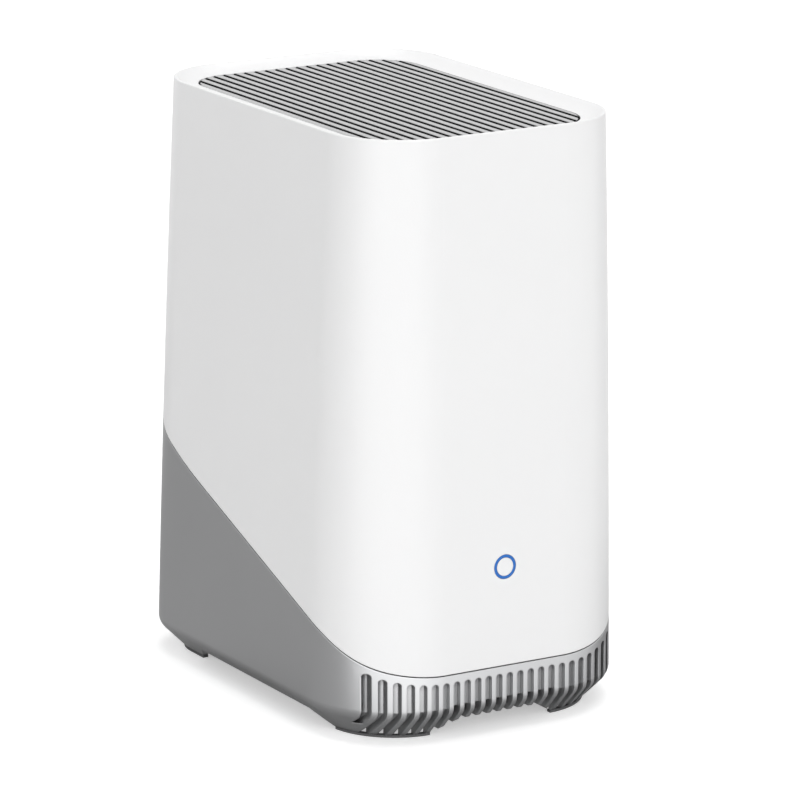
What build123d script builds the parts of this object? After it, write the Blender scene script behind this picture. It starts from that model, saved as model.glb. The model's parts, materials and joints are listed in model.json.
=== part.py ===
from build123d import *
import math
import os

os.makedirs("parts", exist_ok=True)

# Lengths are in millimetres, +Z is up, the front faces -Y, the origin is on the table
# under the middle of the body.

# What the body holds: a fan across its top and a 2.5-inch drive that stands in a tray
fan_width = 80.0
drive_width = 69.85
drive_length = 100.0

# Body outline at the foot of the walls, and how far the walls lean and bow in towards the top
fan_side_room = 13.0
drive_end_room = 38.975
drive_top_room = 90.0
body_width = fan_width + 2 * fan_side_room
body_depth = drive_width + 2 * drive_end_room
body_height = drive_length + drive_top_room
side_lean = 4.14
side_bow = 1.62
front_lean = 0.36
front_bow = 0.72
rear_lean = 3.98
rear_bow = 0.73
front_corner_radius = 32.0
front_corner_loss = 7.0
rear_corner_radius = 23.7
rear_corner_loss = 0.4

# Turn-under: the walls turn in at 45 degrees below this height, over a soft bend
turn_height = 9.1
turn_bend_radius = 4.5
turn_angle = 45

# Walls, seams, clearances and the overrun that every cut has
shell_wall = 2.2
base_wall = 3.4
seam_gap = 0.4
lip_height = 2.5
fit_clearance = 0.1
running_clearance = 0.3
running_fit = 0.05
overrun = 2.0

# Seam between shell and base, seen from the side: low across the front, climbing to the rear
seam_front_height = 21.1
seam_corner_run = 32.8
seam_corner_rise = 15.9
seam_corner_shares = [(0.232, 0.189), (0.473, 0.447), (0.738, 0.767)]
seam_start_slope = 0.40
seam_angle = 20
seam_rear_run = 43.9
seam_rear_radius = 140.0

# Skirt slots, front and rear
slot_count = 24
slot_pitch = 3.82
slot_width = 2.3
slot_depth = 2.0
slot_below_seam = 2.3
slot_sill = 2.0
air_slot_count = 10
air_slot_height = 3.0
air_slot_reach = 15.0

# Feet: the slotted turn-under runs on down to the pads at the four corners
base_underside = 5.6
foot_rib_reach = 9.6
pad_thickness = 0.8
pad_inner_inset = 10.2
arch_half_width = 14.0
arch_front_setback = 36.5
arch_rear_setback = 41.0
arch_slope_run = 8.0
arch_bend_radius = 3.0
foot_slot_depth = 22.0
rear_foot_slot_depth = 16.0

# Base floor, its opening and the ledge that the bottom cover seats on
base_floor = 1.8
opening_rim = 1.5
opening_inset = 10.5
ledge_width = 3.0
ledge_thickness = 1.8

# Top: thin rim, dished surface and the opening for the grille
rim_width = 0.9
rim_round = 0.4
dish_width = 6.9
dish_drop = 2.4
dish_hollow_share = 0.62
top_plate = 2.0

# Grille: slats that run front to back over cross bars, in a flange under the shell's top
slat_count = 21
slat_gap = 1.27
slat_depth = 3.0
slat_shoulder = 0.5
slat_end_round = 1.0
grille_recess = 2.2
grille_bar_count = 5
grille_bar_width = 2.0
grille_flange_inset = 5.6
grille_flange_width = 4.6
grille_flange_thickness = 1.6
filter_inset = 6.0
filter_thickness = 1.5

# Status ring in the front wall, and the small board behind it
ring_height = 53.2
ring_radius = 3.85
ring_stroke = 0.85
ring_cap_depth = 1.4
ring_guide_depth = 4.0
ring_flange_radius = 5.4
ring_flange_depth = 1.0
status_board_width = 22.0
status_board_height = 14.0
status_board_thickness = 1.2
status_post_spread = 8.2
status_post_radius = 2.4
led_size = 1.6
led_thickness = 0.8
led_count = 4

# Bottom cover: plate with air slots and the mouth of the drive bay
cover_recess = 0.2
cover_thickness = 2.4
cover_slot_count = 9
cover_slot_width = 2.2
cover_slot_length = 34.0

# Screws
long_screw_radius = 1.25
long_screw_head_radius = 2.5
long_screw_head_height = 1.4
long_screw_length = 26.0
small_screw_radius = 1.0
small_screw_head_radius = 1.9
small_screw_head_height = 1.2
small_screw_length = 5.0
screw_slot_width = 0.7
screw_slot_depth = 0.5
boss_wall = 2.0
boss_height = 8.0
boss_inset = 14.1

# Inner frame: four posts, two rails and a deck for the fan
deck_drop = 32.0
deck_height = body_height - deck_drop
deck_thickness = 3.0
deck_inset = 5.0
deck_ear_inset = 2.6
post_width = 8.0
side_rail_thickness = 3.4
side_rail_gap = 1.7
side_rail_height = 11.0
ear_width = 9.0
ear_setback = 37.9
ear_place = body_depth / 2 - ear_setback
top_post_depth = 4.4
window_margin = 8.0
window_round = 3.0

# Main board, on edge behind the rear sockets, and the windowed wall that carries it
board_thickness = 1.6
board_low = 22.0
board_top_room = 8.0
board_high = deck_height - board_top_room
board_front_setback = 23.9
board_front = board_front_setback - body_depth / 2
board_rear_setback = 13.9
board_rear = body_depth / 2 - board_rear_setback
board_standoff = 3.0
board_screw_inset = 5.0
socket_stand = 6.75
carrier_thickness = 2.0
carrier_window_count = 3

# Tray that takes the drive, and the cage that it slides in
drive_play = 0.5
tray_thickness = 15.6
tray_tab = 9.0
tray_wall = 1.6
tray_rail = 2.4
tray_door_thickness = 4.4
tray_centre = -24.0
tray_play = 0.4
tray_pull_radius = 8.0
tray_grip_length = 30.0
tray_grip_depth = 2.2
tray_hole_radius = 3.0
cage_wall = 1.4
cage_clearance_top = 6.0
cage_block_height = 9.0
cage_window_count = 3
drive_socket_width = 42.0
drive_socket_thickness = 5.0
drive_socket_depth = 6.0
drive_board_width = 56.0
drive_board_thickness = 1.6
tray_screw_radius = 1.5
tray_screw_head_radius = 3.4
tray_screw_head_height = 1.8
tray_screw_length = 8.0
tray_screw_sink = 1.0

# Fan
fan_depth = 15.0
fan_rim = 2.0
fan_bore = fan_width / 2 - fan_rim
fan_corner_radius = 5.0
fan_centre = -2.0
fan_hole_inset = 4.25
fan_hole_radius = 2.2
fan_flange = 3.0
fan_hub_radius = 16.5
fan_hub_wall = 1.4
fan_top_gap = 0.8
fan_hole_margin = 4.4
fan_tube_radius = 3.0
fan_stator_radius = 13.4
fan_tip_gap = 0.8
fan_blade_count = 7
fan_blade_thickness = 1.2
fan_blade_root_angle = 48
fan_blade_tip_angle = 28
fan_blade_height = 9.0
fan_blade_sweep = 24
fan_motor_radius = 15.0
fan_motor_depth = 2.6
fan_arm_count = 4
fan_arm_width = 3.6
fan_shaft_radius = 1.5
fan_shaft_clearance = 0.05

# Rear panel: shallow recess with the sockets in a column, and the sync button above
recess_depth = 1.2
recess_half_width = 12.0
recess_low = 20.0
recess_round = 4.0
recess_foot_margin = 2.0
recess_top_margin = 5.5
socket_gap = 2.4
switch_gap = 1.0
jack_width = 9.0
jack_height = recess_low + recess_foot_margin + jack_width / 2
jack_depth = 13.0
jack_bore = 3.2
jack_bore_depth = 9.5
jack_pin_radius = 1.0
jack_pin_back = 1.6
usb_width = 13.2
usb_height = jack_height + jack_width / 2 + socket_gap + usb_width / 2
usb_thickness = 5.8
usb_depth = 14.0
usb_wall = 0.35
usb_back = 3.0
usb_tongue_thickness = 1.9
usb_tongue_width = 11.1
usb_tongue_length = 8.4
ethernet_width = 16.0
ethernet_height = usb_height + usb_width / 2 + socket_gap + ethernet_width / 2
ethernet_thickness = 13.5
ethernet_depth = 21.0
ethernet_port_width = 12.0
ethernet_port_height = 8.4
ethernet_port_depth = 13.0
ethernet_tab_widths = (6.4, 3.4)
ethernet_tab_height = 1.4
switch_size = 6.0
switch_depth = 6.2
switch_nose = 1.6
reset_height = ethernet_height + ethernet_width / 2 + switch_gap + switch_size / 2
reset_hole_radius = 0.8
reset_travel = 0.25
reset_plunger_radius = 1.4
sync_radius = 3.4
sync_proud = 0.6
sync_travel = 0.5
sync_flange_radius = 4.4
sync_height = reset_height + switch_size / 2 + 2 * running_clearance + sync_flange_radius
recess_high = sync_height + recess_top_margin
sync_flange_depth = 1.0
sync_edge_round = 0.4
plunger_radius = 1.6
plunger_length = 2.6

# Parts on the main board
chip_size = 24.0
chip_thickness = 1.8
chip_drop = 42.0
chip_height = board_high - chip_drop
chip_place = 5.0
pad_gap = 1.0
sink_width = 62.0
sink_length = 62.0
sink_base = 3.0
sink_fin_height = 13.0
sink_fin_thickness = 1.3
sink_fin_count = 11
sink_leg_radius = 1.8
memory_width = 11.0
memory_length = 13.0
memory_thickness = 1.1
memory_place = 14.0
memory_pitch = 16.0
memory_height = 66.0
shield_length = 34.0
shield_width = 28.0
shield_thickness = 3.2
shield_round = 0.6
shield_place = -26.0
shield_height = 60.0

# Speaker in its box, over the air slots of the bottom cover
speaker_box_left = -5.0
speaker_post_gap = 0.7
speaker_box_depth = 34.0
speaker_box_height = 30.0
speaker_setback = 31.9
speaker_place = speaker_setback - body_depth / 2
rear_vent_place = 30.0
speaker_box_wall = 2.0
speaker_side_room = 0.5
speaker_stand = 6.0
speaker_leg = 5.0
speaker_rim = 1.2
speaker_magnet_radius = 9.0
speaker_depth = 9.0
speaker_basket = 4.0
speaker_cone_depth = 3.6

# Antennas: printed boards clipped to the frame's posts
antenna_width = 9.0
antenna_length = 42.0
antenna_thickness = 0.8


# The outline of the body at one height, drawn in by an inset
def outline(height, inset=0):
    share = height / body_height
    half = body_width / 2 - side_lean * share - side_bow * share**2 - inset
    front = -body_depth / 2 + front_lean * share + front_bow * share**2 + inset
    rear = body_depth / 2 - rear_lean * share - rear_bow * share**2 - inset
    front_r = front_corner_radius - front_corner_loss * share - inset
    rear_r = rear_corner_radius - rear_corner_loss * share - inset
    lines = []
    for side in (1, -1):
        lines.append(Line((0, front, height), (side * (half - front_r), front, height)))
        front_centre = (side * (half - front_r), front + front_r, height)
        lines.append(corner_arc(front_centre, front_r, side, -1))
        lines.append(Line((side * half, front + front_r, height), (side * half, rear - rear_r, height)))
        rear_centre = (side * (half - rear_r), rear - rear_r, height)
        lines.append(corner_arc(rear_centre, rear_r, side, 1))
        lines.append(Line((side * (half - rear_r), rear, height), (0, rear, height)))
    return make_face(Curve() + lines)


# A quarter arc about a corner centre, on one side and at one end of the body
def corner_arc(centre, radius, side, end):
    x, y, z = centre
    middle = radius * math.sqrt(0.5)
    return ThreePointArc(
        (x, y + end * radius, z), (x + side * middle, y + end * middle, z), (x + side * radius, y, z)
    )


def front_face(height):
    share = height / body_height
    return -body_depth / 2 + front_lean * share + front_bow * share**2


def rear_face(height):
    share = height / body_height
    return body_depth / 2 - rear_lean * share - rear_bow * share**2


def side_face(height):
    share = height / body_height
    return body_width / 2 - side_lean * share - side_bow * share**2


# The whole body as one solid, drawn in by a wall: lofted walls over a 45 degree turn-under
def body_form(wall=0):
    corner = turn_height + wall * math.tan(math.radians(turn_angle / 2))
    middle = (corner + body_height) / 2
    walls = loft([outline(height, wall) for height in (corner, middle, body_height)])
    tip = outline(corner, wall + corner).moved(Location((0, 0, -corner)))
    return walls + loft([outline(corner, wall), tip], ruled=True)


# A straight prism of the outline at one height, between two levels
def outline_prism(height, inset, low, high):
    return extrude(outline(height, inset).moved(Location((0, 0, low - height))), high - low)


def box_between(low, high):
    size = [b - a for a, b in zip(low, high)]
    centre = [(a + b) / 2 for a, b in zip(low, high)]
    return Pos(*centre) * Box(*size)


# Everything below the seam, raised by a lift, as a prism across the body
def below_seam(lift=0):
    front = -body_depth / 2
    start = (front, seam_front_height + lift)
    points = [start]
    for run_share, rise_share in seam_corner_shares:
        points.append((front + seam_corner_run * run_share, start[1] + seam_corner_rise * rise_share))
    points.append((front + seam_corner_run, start[1] + seam_corner_rise))
    slope = (math.cos(math.radians(seam_angle)), math.sin(math.radians(seam_angle)))
    corner = Spline(*points, tangents=[(1, seam_start_slope), slope])
    straight = PolarLine(corner @ 1, (body_depth - seam_corner_run - seam_rear_run) / slope[0], seam_angle)
    end_angle = math.degrees(math.asin(slope[1] + (seam_rear_run + overrun) / seam_rear_radius))
    climb = JernArc(straight @ 1, slope, seam_rear_radius, end_angle - seam_angle)
    lead_in = Line((front - overrun, start[1]), start)
    far = climb @ 1
    rest = Polyline(far, (far.X, -overrun), (front - overrun, -overrun), lead_in @ 0)
    face = make_face(Curve() + [lead_in, corner, straight, climb, rest])
    plane = Plane(origin=(-body_width, 0, 0), x_dir=(0, 1, 0), z_dir=(1, 0, 0))
    return extrude(plane * face, 2 * body_width)


# The edges that lie at one height
def edges_at(body, height):
    return body.edges().filter_by_position(Axis.Z, height - fit_clearance, height + fit_clearance)


outer = body_form()
outer = fillet(edges_at(outer, turn_height), turn_bend_radius)
outer = fillet(edges_at(outer, body_height), rim_round)
inner_shell = body_form(shell_wall)
inner_base = body_form(base_wall)

# Upright, front-to-back and side-to-side rods
def rod(x, y, low, high, radius):
    return Pos(x, y, (low + high) / 2) * Cylinder(radius, high - low)

def deep_rod(x, z, front, rear, radius):
    return Pos(x, (front + rear) / 2, z) * Rot(X=90) * Cylinder(radius, rear - front)

def side_rod(y, z, left, right, radius):
    return Pos((left + right) / 2, y, z) * Rot(Y=90) * Cylinder(radius, right - left)

# A prism across the body from a side profile of (y, z) points, or along it from (x, z) points
def side_prism(points, left, right):
    face = make_face(Polyline(*points, close=True))
    return extrude(Plane(origin=(left, 0, 0), x_dir=(0, 1, 0), z_dir=(1, 0, 0)) * face, right - left)

def front_prism(points, front, rear, round_off=0):
    face = make_face(Polyline(*points, close=True))
    if round_off:
        corners = face.vertices().filter_by_position(Axis.Y, base_underside - fit_clearance, body_height)
        face = fillet(corners, round_off)
    return extrude(Plane(origin=(0, rear, 0), x_dir=(1, 0, 0), z_dir=(0, -1, 0)) * face, rear - front)

def save(node, shape):
    export_step(shape, os.path.join("parts", node + ".step"))
    print(node, len(shape.solids()), round(shape.volume))

# A pan-head screw with a cross recess, its head's seat at z = 0 and its shaft upwards
def screw(radius, length, head_radius, head_height):
    body = rod(0, 0, 0, length, radius) + rod(0, 0, -head_height, 0, head_radius)
    reach = head_radius - screw_slot_width
    half = screw_slot_width / 2
    floor = screw_slot_depth - head_height
    recess = box_between((-reach, -half, -head_height - overrun), (reach, half, floor))
    return body - recess - Rot(Z=90) * recess

def long_screw():
    return screw(long_screw_radius, long_screw_length, long_screw_head_radius, long_screw_head_height)

def small_screw():
    return screw(small_screw_radius, small_screw_length, small_screw_head_radius, small_screw_head_height)

# Screw bosses, one in each corner, on the diagonal from the corner's centre
def boss_places():
    places = []
    for radius, end in ((front_corner_radius, -1), (rear_corner_radius, 1)):
        reach = (radius - boss_inset) * math.sqrt(0.5)
        x = body_width / 2 - radius + reach
        y = end * (body_depth / 2 - radius + reach)
        places += [(x, y), (-x, y)]
    return places

# Height of the seam at a distance behind the front face
def seam_height(run):
    points = [(0, 0)] + seam_corner_shares + [(1, 1)]
    share = min(max(run / seam_corner_run, 0), 1)
    for (near, low), (far, high) in zip(points, points[1:]):
        if share <= far:
            return seam_front_height + seam_corner_rise * (low + (high - low) * (share - near) / (far - near))

# How far the outline's corner lies behind the front face at a sideways place
def corner_setback(x, radius):
    side = max(abs(x) - (body_width / 2 - radius), 0)
    return radius - math.sqrt(radius**2 - side**2)

def slot_places():
    return [(place - (slot_count - 1) / 2) * slot_pitch for place in range(slot_count)]

# One upright slot with a round top, cut from one end of the body to the middle
def slot_cutter(x, top, front, rear):
    half = slot_width / 2
    body = box_between((x - half, front, -overrun), (x + half, rear, top - half))
    return body + deep_rod(x, top - half, front, rear, half)

# Arches between the feet, along and across the body
def foot_arches():
    half = arch_half_width
    run = arch_slope_run
    low = pad_thickness
    side = body_width
    end = body_depth
    rise = base_underside - low
    drop = low + overrun
    lower = run * (1 + drop / rise)
    top = base_underside
    front_points = [(-half - lower, -overrun), (-half, top), (half, top), (half + lower, -overrun)]
    along = front_prism(front_points, -end, end, arch_bend_radius)
    front = arch_front_setback - body_depth / 2
    rear = body_depth / 2 - arch_rear_setback
    side_points = [(front - lower, -overrun), (front, top), (rear, top), (rear + lower, -overrun)]
    return along + side_prism(side_points, -side, side)

def base_chassis():
    cavity_floor = base_underside + base_floor
    body = (outer & below_seam()) + (body_form(shell_wall + fit_clearance) & below_seam(lip_height))
    high_half = box_between((-body_width, -body_depth, cavity_floor), (body_width, body_depth, body_height))
    body -= inner_base & high_half
    cover_top = base_underside + cover_recess + cover_thickness
    ledge_top = cover_top + ledge_thickness
    ring = outline_prism(turn_height, opening_inset - opening_rim, cavity_floor - fit_clearance, ledge_top)
    ring -= outline_prism(turn_height, opening_inset + ledge_width, -overrun, ledge_top + overrun)
    body += ring
    for x, y in boss_places():
        body += rod(x, y, cover_top, cover_top + boss_height, long_screw_radius + boss_wall)
    body -= outline_prism(turn_height, opening_inset, -overrun, cover_top)
    body -= outline_prism(turn_height, foot_rib_reach, -overrun, base_underside)
    body -= foot_arches()
    body -= box_between((-body_width, -body_depth, -overrun), (body_width, body_depth, pad_thickness))
    bore = long_screw_radius + fit_clearance
    for x, y in boss_places():
        body -= rod(x, y, cover_top - overrun, cover_top + boss_height + overrun, bore)
    return body - skirt_slots() - rear_panel_cuts()

# All slots of the skirt: shallow on the walls, right through below the floor and in the middle
def skirt_slots():
    front = -body_depth / 2
    rear = body_depth / 2
    shallow = []
    through = []
    places = slot_places()
    middle = slot_count // 2
    for place, x in enumerate(places):
        top = seam_height(corner_setback(x, front_corner_radius)) - slot_below_seam
        shallow.append(slot_cutter(x, top, front - overrun, 0))
        rear_top = seam_front_height - slot_below_seam
        shallow.append(slot_cutter(x, rear_top, 0, rear + overrun))
        half = slot_width / 2
        if 0 < place < slot_count - 1:
            for low, high in ((front, front + foot_slot_depth), (rear - rear_foot_slot_depth, rear)):
                through.append(box_between((x - half, low, -overrun), (x + half, high, base_underside)))
        if abs(place - middle + 1 / 2) < air_slot_count / 2:
            low = base_underside + slot_sill
            high = low + air_slot_height
            through.append(box_between((x - half, front, low), (x + half, front + air_slot_reach, high)))
    kept = body_form(slot_depth) & box_between(
        (-body_width, -body_depth, base_underside), (body_width, body_depth, body_height)
    )
    return (Part() + shallow) - kept - low_block() + through

# The feet are cut only by the slots that run right through
def low_block():
    return box_between((-body_width, -body_depth, -2 * overrun), (body_width, body_depth, base_underside))

# Recess of the rear panel and the openings for sockets, button and reset hole
def rear_panel_cuts():
    middle = (recess_low + recess_high) / 2
    rear = body_depth / 2
    face = RectangleRounded(2 * recess_half_width, recess_high - recess_low, recess_round)
    plane = Plane(origin=(0, rear, middle), x_dir=(1, 0, 0), z_dir=(0, -1, 0))
    recess = extrude(plane * face, rear / 2) - body_form(recess_depth)
    start = rear_face(0) - jack_depth
    for height, width, thickness in (
        (jack_height, jack_width, jack_width),
        (usb_height, usb_width, usb_thickness),
        (ethernet_height, ethernet_width, ethernet_thickness),
    ):
        half = thickness / 2 + running_clearance
        tall = width / 2 + running_clearance
        recess += box_between((-half, start, height - tall), (half, rear, height + tall))
    recess += deep_rod(0, sync_height, start, rear, sync_radius + running_clearance)
    recess += deep_rod(0, reset_height, start, rear, reset_hole_radius)
    return recess

# Where the floor of the rear recess lies at one height
def recess_face(height):
    return rear_face(height) - recess_depth

# Pads flush with the ribs' outer faces
def foot_pads():
    low = pad_thickness
    ring = outline_prism(turn_height, turn_height - low, 0, low)
    ring -= outline_prism(turn_height, pad_inner_inset, -overrun, low + overrun)
    lower = arch_half_width + arch_slope_run
    ring -= box_between((-lower, -body_depth, -overrun), (lower, body_depth, low + overrun))
    front = arch_front_setback - arch_slope_run - body_depth / 2
    rear = body_depth / 2 - arch_rear_setback + arch_slope_run
    return ring - box_between((-body_width, front, -overrun), (body_width, rear, low + overrun))

def outer_shell():
    under = body_height - dish_drop - top_plate
    body = outer - below_seam(seam_gap)
    body -= inner_shell & box_between((-body_width, -body_depth, -overrun), (body_width, body_depth, under))
    dish_floor = outline(body_height, rim_width + dish_width).moved(Location((0, 0, -dish_drop)))
    dish_middle = outline(body_height, rim_width + dish_width / 3)
    dish_middle = dish_middle.moved(Location((0, 0, -dish_drop * dish_hollow_share)))
    body -= loft([dish_floor, dish_middle, outline(body_height, rim_width)])
    body -= outline_prism(body_height, rim_width + dish_width, under - overrun, body_height)
    front = front_face(ring_height)
    wall_rear = front + shell_wall
    body -= deep_rod(0, ring_height, front - overrun, wall_rear + overrun, ring_radius + fit_clearance)
    board = status_board_front()
    hole_end = board + status_board_thickness - small_screw_length
    for x in (-status_post_spread, status_post_spread):
        body += deep_rod(x, ring_height, front + shell_wall / 2, board, status_post_radius)
        body -= deep_rod(x, ring_height, hole_end, board + overrun, small_screw_radius)
    deck_top = deck_height + deck_thickness
    limit = body_form(shell_wall / 2)
    for side in (1, -1):
        for y in (-ear_place, ear_place):
            near = side * (side_face(deck_top) - shell_wall - top_post_depth)
            low_x, high_x = sorted((near, side * body_width / 2))
            half = ear_width / 2
            post = box_between((low_x, y - half, deck_top), (high_x, y + half, under - running_clearance))
            body += post & limit
    return body

# Underside of the grille's flange and bars
def flange_underside():
    return body_height - dish_drop - top_plate - grille_flange_thickness

def top_grille():
    top = body_height - grille_recess
    slat_low = top - slat_depth
    flange_top = body_height - dish_drop - top_plate
    flange_low = flange_underside()
    inset = rim_width + dish_width + fit_clearance
    block = outline_prism(body_height, inset, slat_low, top)
    block = fillet(edges_at(block, top), slat_end_round)
    half = slat_gap / 2
    flare = half + slat_shoulder / 2
    for place in range(slat_count - 1):
        x = (place - (slat_count - 2) / 2) * slot_pitch
        points = [
            (x - half, slat_low - overrun), (x + half, slat_low - overrun), (x + half, top - slat_shoulder),
            (x + flare, top), (x + flare, top + overrun), (x - flare, top + overrun),
            (x - flare, top), (x - half, top - slat_shoulder),
        ]
        block -= front_prism(points, -body_depth, body_depth)
    outer_inset = grille_flange_inset
    flange = outline_prism(body_height, outer_inset, flange_low, flange_top)
    inner_inset = outer_inset + grille_flange_width
    flange -= outline_prism(body_height, inner_inset, flange_low - overrun, flange_top + overrun)
    reach = outline_prism(body_height, outer_inset + grille_flange_width / 2, flange_low, flange_top)
    spread = body_depth - 2 * grille_flange_inset
    for bar in range(grille_bar_count):
        y = ((bar + 1) / (grille_bar_count + 1) - 1 / 2) * spread
        half = grille_bar_width / 2
        bar_box = box_between((-body_width, y - half, flange_low), (body_width, y + half, flange_top))
        flange += bar_box & reach
    return block + flange

# Sheet of open foam against the underside of the grille
def dust_filter():
    high = flange_underside()
    return outline_prism(body_height, filter_inset, high - filter_thickness, high)

def ring_light_guide():
    front = front_face(ring_height)
    rear = front + ring_guide_depth
    body = deep_rod(0, ring_height, front, rear, ring_radius)
    wall_rear = front + shell_wall + running_fit
    body += deep_rod(0, ring_height, wall_rear, wall_rear + ring_flange_depth, ring_flange_radius)
    inner = ring_radius - ring_stroke
    body -= deep_rod(0, ring_height, front - overrun, front + ring_cap_depth, inner)
    return body - deep_rod(0, ring_height, wall_rear + ring_flange_depth, rear + overrun, inner)

def ring_centre_cap():
    front = front_face(ring_height)
    return deep_rod(0, ring_height, front, front + ring_cap_depth, ring_radius - ring_stroke - fit_clearance)

def status_board_front():
    return front_face(ring_height) + ring_guide_depth + led_thickness + running_clearance

def status_board():
    front = status_board_front()
    rear = front + status_board_thickness
    half = status_board_width / 2
    tall = status_board_height / 2
    body = box_between((-half, front, ring_height - tall), (half, rear, ring_height + tall))
    for x in (-status_post_spread, status_post_spread):
        body -= deep_rod(x, ring_height, front - overrun, rear + overrun, small_screw_radius)
    return body

def status_leds():
    rear = status_board_front()
    radius = ring_radius - ring_stroke / 2
    leds = []
    for place in range(led_count):
        angle = math.radians(45 + 90 * place)
        x = radius * math.cos(angle)
        z = ring_height + radius * math.sin(angle)
        half = led_size / 2
        leds.append(box_between((x - half, rear - led_thickness, z - half), (x + half, rear, z + half)))
    return Compound(leds)

def status_board_screws():
    rear = status_board_front() + status_board_thickness
    spots = [Pos(x, rear, ring_height) for x in (-status_post_spread, status_post_spread)]
    return Compound([spot * Rot(X=90) * small_screw() for spot in spots])

# Sides and end of the drive tray
def tray_box():
    half = tray_thickness / 2
    rear = (drive_width + drive_play) / 2 + tray_rail
    return tray_centre - half, tray_centre + half, rear

def tray_top():
    return base_underside + cover_recess + tray_door_thickness + drive_length + drive_play

def bottom_cover():
    low = base_underside + cover_recess
    high = low + cover_thickness
    body = outline_prism(turn_height, opening_inset + cover_recess, low, high)
    left, right, half = tray_box()
    mouth_low = (left - tray_play, -half - tray_tab - tray_play, low - overrun)
    body -= box_between(mouth_low, (right + tray_play, half + tray_play, high + overrun))
    for x, y in boss_places():
        body -= rod(x, y, low - overrun, high + overrun, long_screw_radius + fit_clearance)
        body -= rod(x, y, low - overrun, low + long_screw_head_height, long_screw_head_radius + cover_recess)
    box_left, box_right = speaker_box_sides()
    pitch = (box_right - box_left - cover_slot_width) / (cover_slot_count - 1)
    slot = extrude(SlotOverall(cover_slot_length, cover_slot_width, 90), cover_thickness + overrun, both=True)
    for y in (speaker_place, rear_vent_place):
        for place in range(cover_slot_count):
            body -= Pos(box_left + cover_slot_width / 2 + place * pitch, y, low) * slot
    return body

def cover_screws():
    seat = base_underside + cover_recess + long_screw_head_height
    return Compound([Pos(x, y, seat) * long_screw() for x, y in boss_places()])

# Outer and inner faces of the side rails, flush with the front posts, and their underside
def rail_outer():
    return boss_places()[0][0] + post_width / 2

def rail_inner():
    return rail_outer() - side_rail_thickness

def rail_low():
    return tray_top() + cage_clearance_top + drive_board_thickness + side_rail_gap

# Deck on four posts, with ears towards the side walls and a rail down each side
def inner_frame():
    low = base_underside + cover_recess + cover_thickness + boss_height
    deck_top = deck_height + deck_thickness
    body = outline_prism(deck_height, deck_inset, deck_height, deck_top)
    wide = outline_prism(deck_height, deck_ear_inset, deck_height, deck_top)
    half = ear_width / 2
    for y in (-ear_place, ear_place):
        body += wide & box_between((-body_width, y - half, deck_height), (body_width, y + half, deck_top))
    half = post_width / 2
    for x, y in boss_places():
        body += box_between((x - half, y - half, low), (x + half, y + half, deck_height))
    front = min(y for x, y in boss_places())
    rear = max(y for x, y in boss_places())
    rail_high = rail_low() + side_rail_height
    for side in (-1, 1):
        near, far = sorted((side * rail_inner(), side * rail_outer()))
        body += box_between((near, front - half, rail_low()), (far, rear + half, rail_high))
    body -= rod(0, fan_centre, deck_height - overrun, deck_top + overrun, fan_bore)
    for x, y in boss_places():
        body -= rod(x, y, low - overrun, low + long_screw_length, long_screw_radius)
    for x, y in fan_hole_places():
        body -= rod(x, y, deck_height - overrun, deck_top + overrun, small_screw_radius)
    return body

# Wall that hangs from the deck behind the main board, on standoffs, cut away for the fan's air
def board_carrier():
    right = board_left() - board_standoff
    left = right - carrier_thickness
    body = box_between((left, board_front, board_low), (right, board_rear, deck_height))
    body -= carrier_windows(left, right)
    body -= rod(0, fan_centre, deck_height - overrun, deck_height + overrun, fan_bore)
    board_right = board_left() + board_thickness
    for y, z in board_screw_places():
        body += side_rod(y, z, right - carrier_thickness / 2, board_left(), small_screw_radius + boss_wall)
        body -= side_rod(y, z, board_right - small_screw_length, board_right, small_screw_radius)
    return body

# Windows that lighten the carrier wall, side by side
def carrier_windows(left, right):
    width = (board_rear - board_front - (carrier_window_count + 1) * window_margin) / carrier_window_count
    height = deck_height - board_low - 2 * window_margin - 2 * board_screw_inset
    middle = (deck_height + board_low) / 2
    cuts = []
    for place in range(carrier_window_count):
        y = board_front + window_margin + width / 2 + place * (width + window_margin)
        plane = Plane(origin=(left - overrun, y, middle), x_dir=(0, 1, 0), z_dir=(1, 0, 0))
        window = plane * RectangleRounded(width, height, window_round)
        cuts.append(extrude(window, right - left + 2 * overrun))
    return Part() + cuts

def board_left():
    return -socket_stand - board_thickness

def board_screw_places():
    return [
        (y, z)
        for y in (board_front + board_screw_inset, board_rear - board_screw_inset)
        for z in (board_low + board_screw_inset, board_high - board_screw_inset)
    ]

def main_board():
    left = board_left()
    body = box_between((left, board_front, board_low), (left + board_thickness, board_rear, board_high))
    for y, z in board_screw_places():
        body -= side_rod(y, z, left - overrun, left + board_thickness + overrun, small_screw_radius)
    return body

def board_screws():
    right = board_left() + board_thickness
    return Compound([Pos(right, y, z) * Rot(Y=-90) * small_screw() for y, z in board_screw_places()])

def drive_cage():
    left, right, half = tray_box()
    low = base_underside + cover_recess + cover_thickness
    high = tray_top() + cage_clearance_top
    wall = cage_wall + tray_play
    body = box_between((left - wall, -half - wall, low), (right + wall, half + wall, high))
    front = -half - wall
    block_top = low + cage_block_height
    body += box_between((left - wall, front - tray_tab, low), (right + wall, front + cage_wall, block_top))
    inner = half + tray_play
    body -= box_between((left - tray_play, -inner, low - overrun), (right + tray_play, inner, high + overrun))
    width = (2 * half - (cage_window_count + 1) * window_margin) / cage_window_count
    height = high - low - 2 * window_margin - cage_block_height
    middle = (high + low + cage_block_height) / 2
    for place in range(cage_window_count):
        y = -half + window_margin + width / 2 + place * (width + window_margin)
        plane = Plane(origin=(left - wall - overrun, y, middle), x_dir=(0, 1, 0), z_dir=(1, 0, 0))
        reach = right - left + 2 * wall + 2 * overrun
        body -= extrude(plane * RectangleRounded(width, height, window_round), reach)
    x, y = tray_screw_place()
    body -= rod(x, y, low - overrun, block_top - cage_wall, tray_screw_radius + running_fit)
    return body

def tray_screw_place():
    half = tray_box()[2]
    return tray_centre, -half - tray_play - tray_tab / 2

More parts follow.
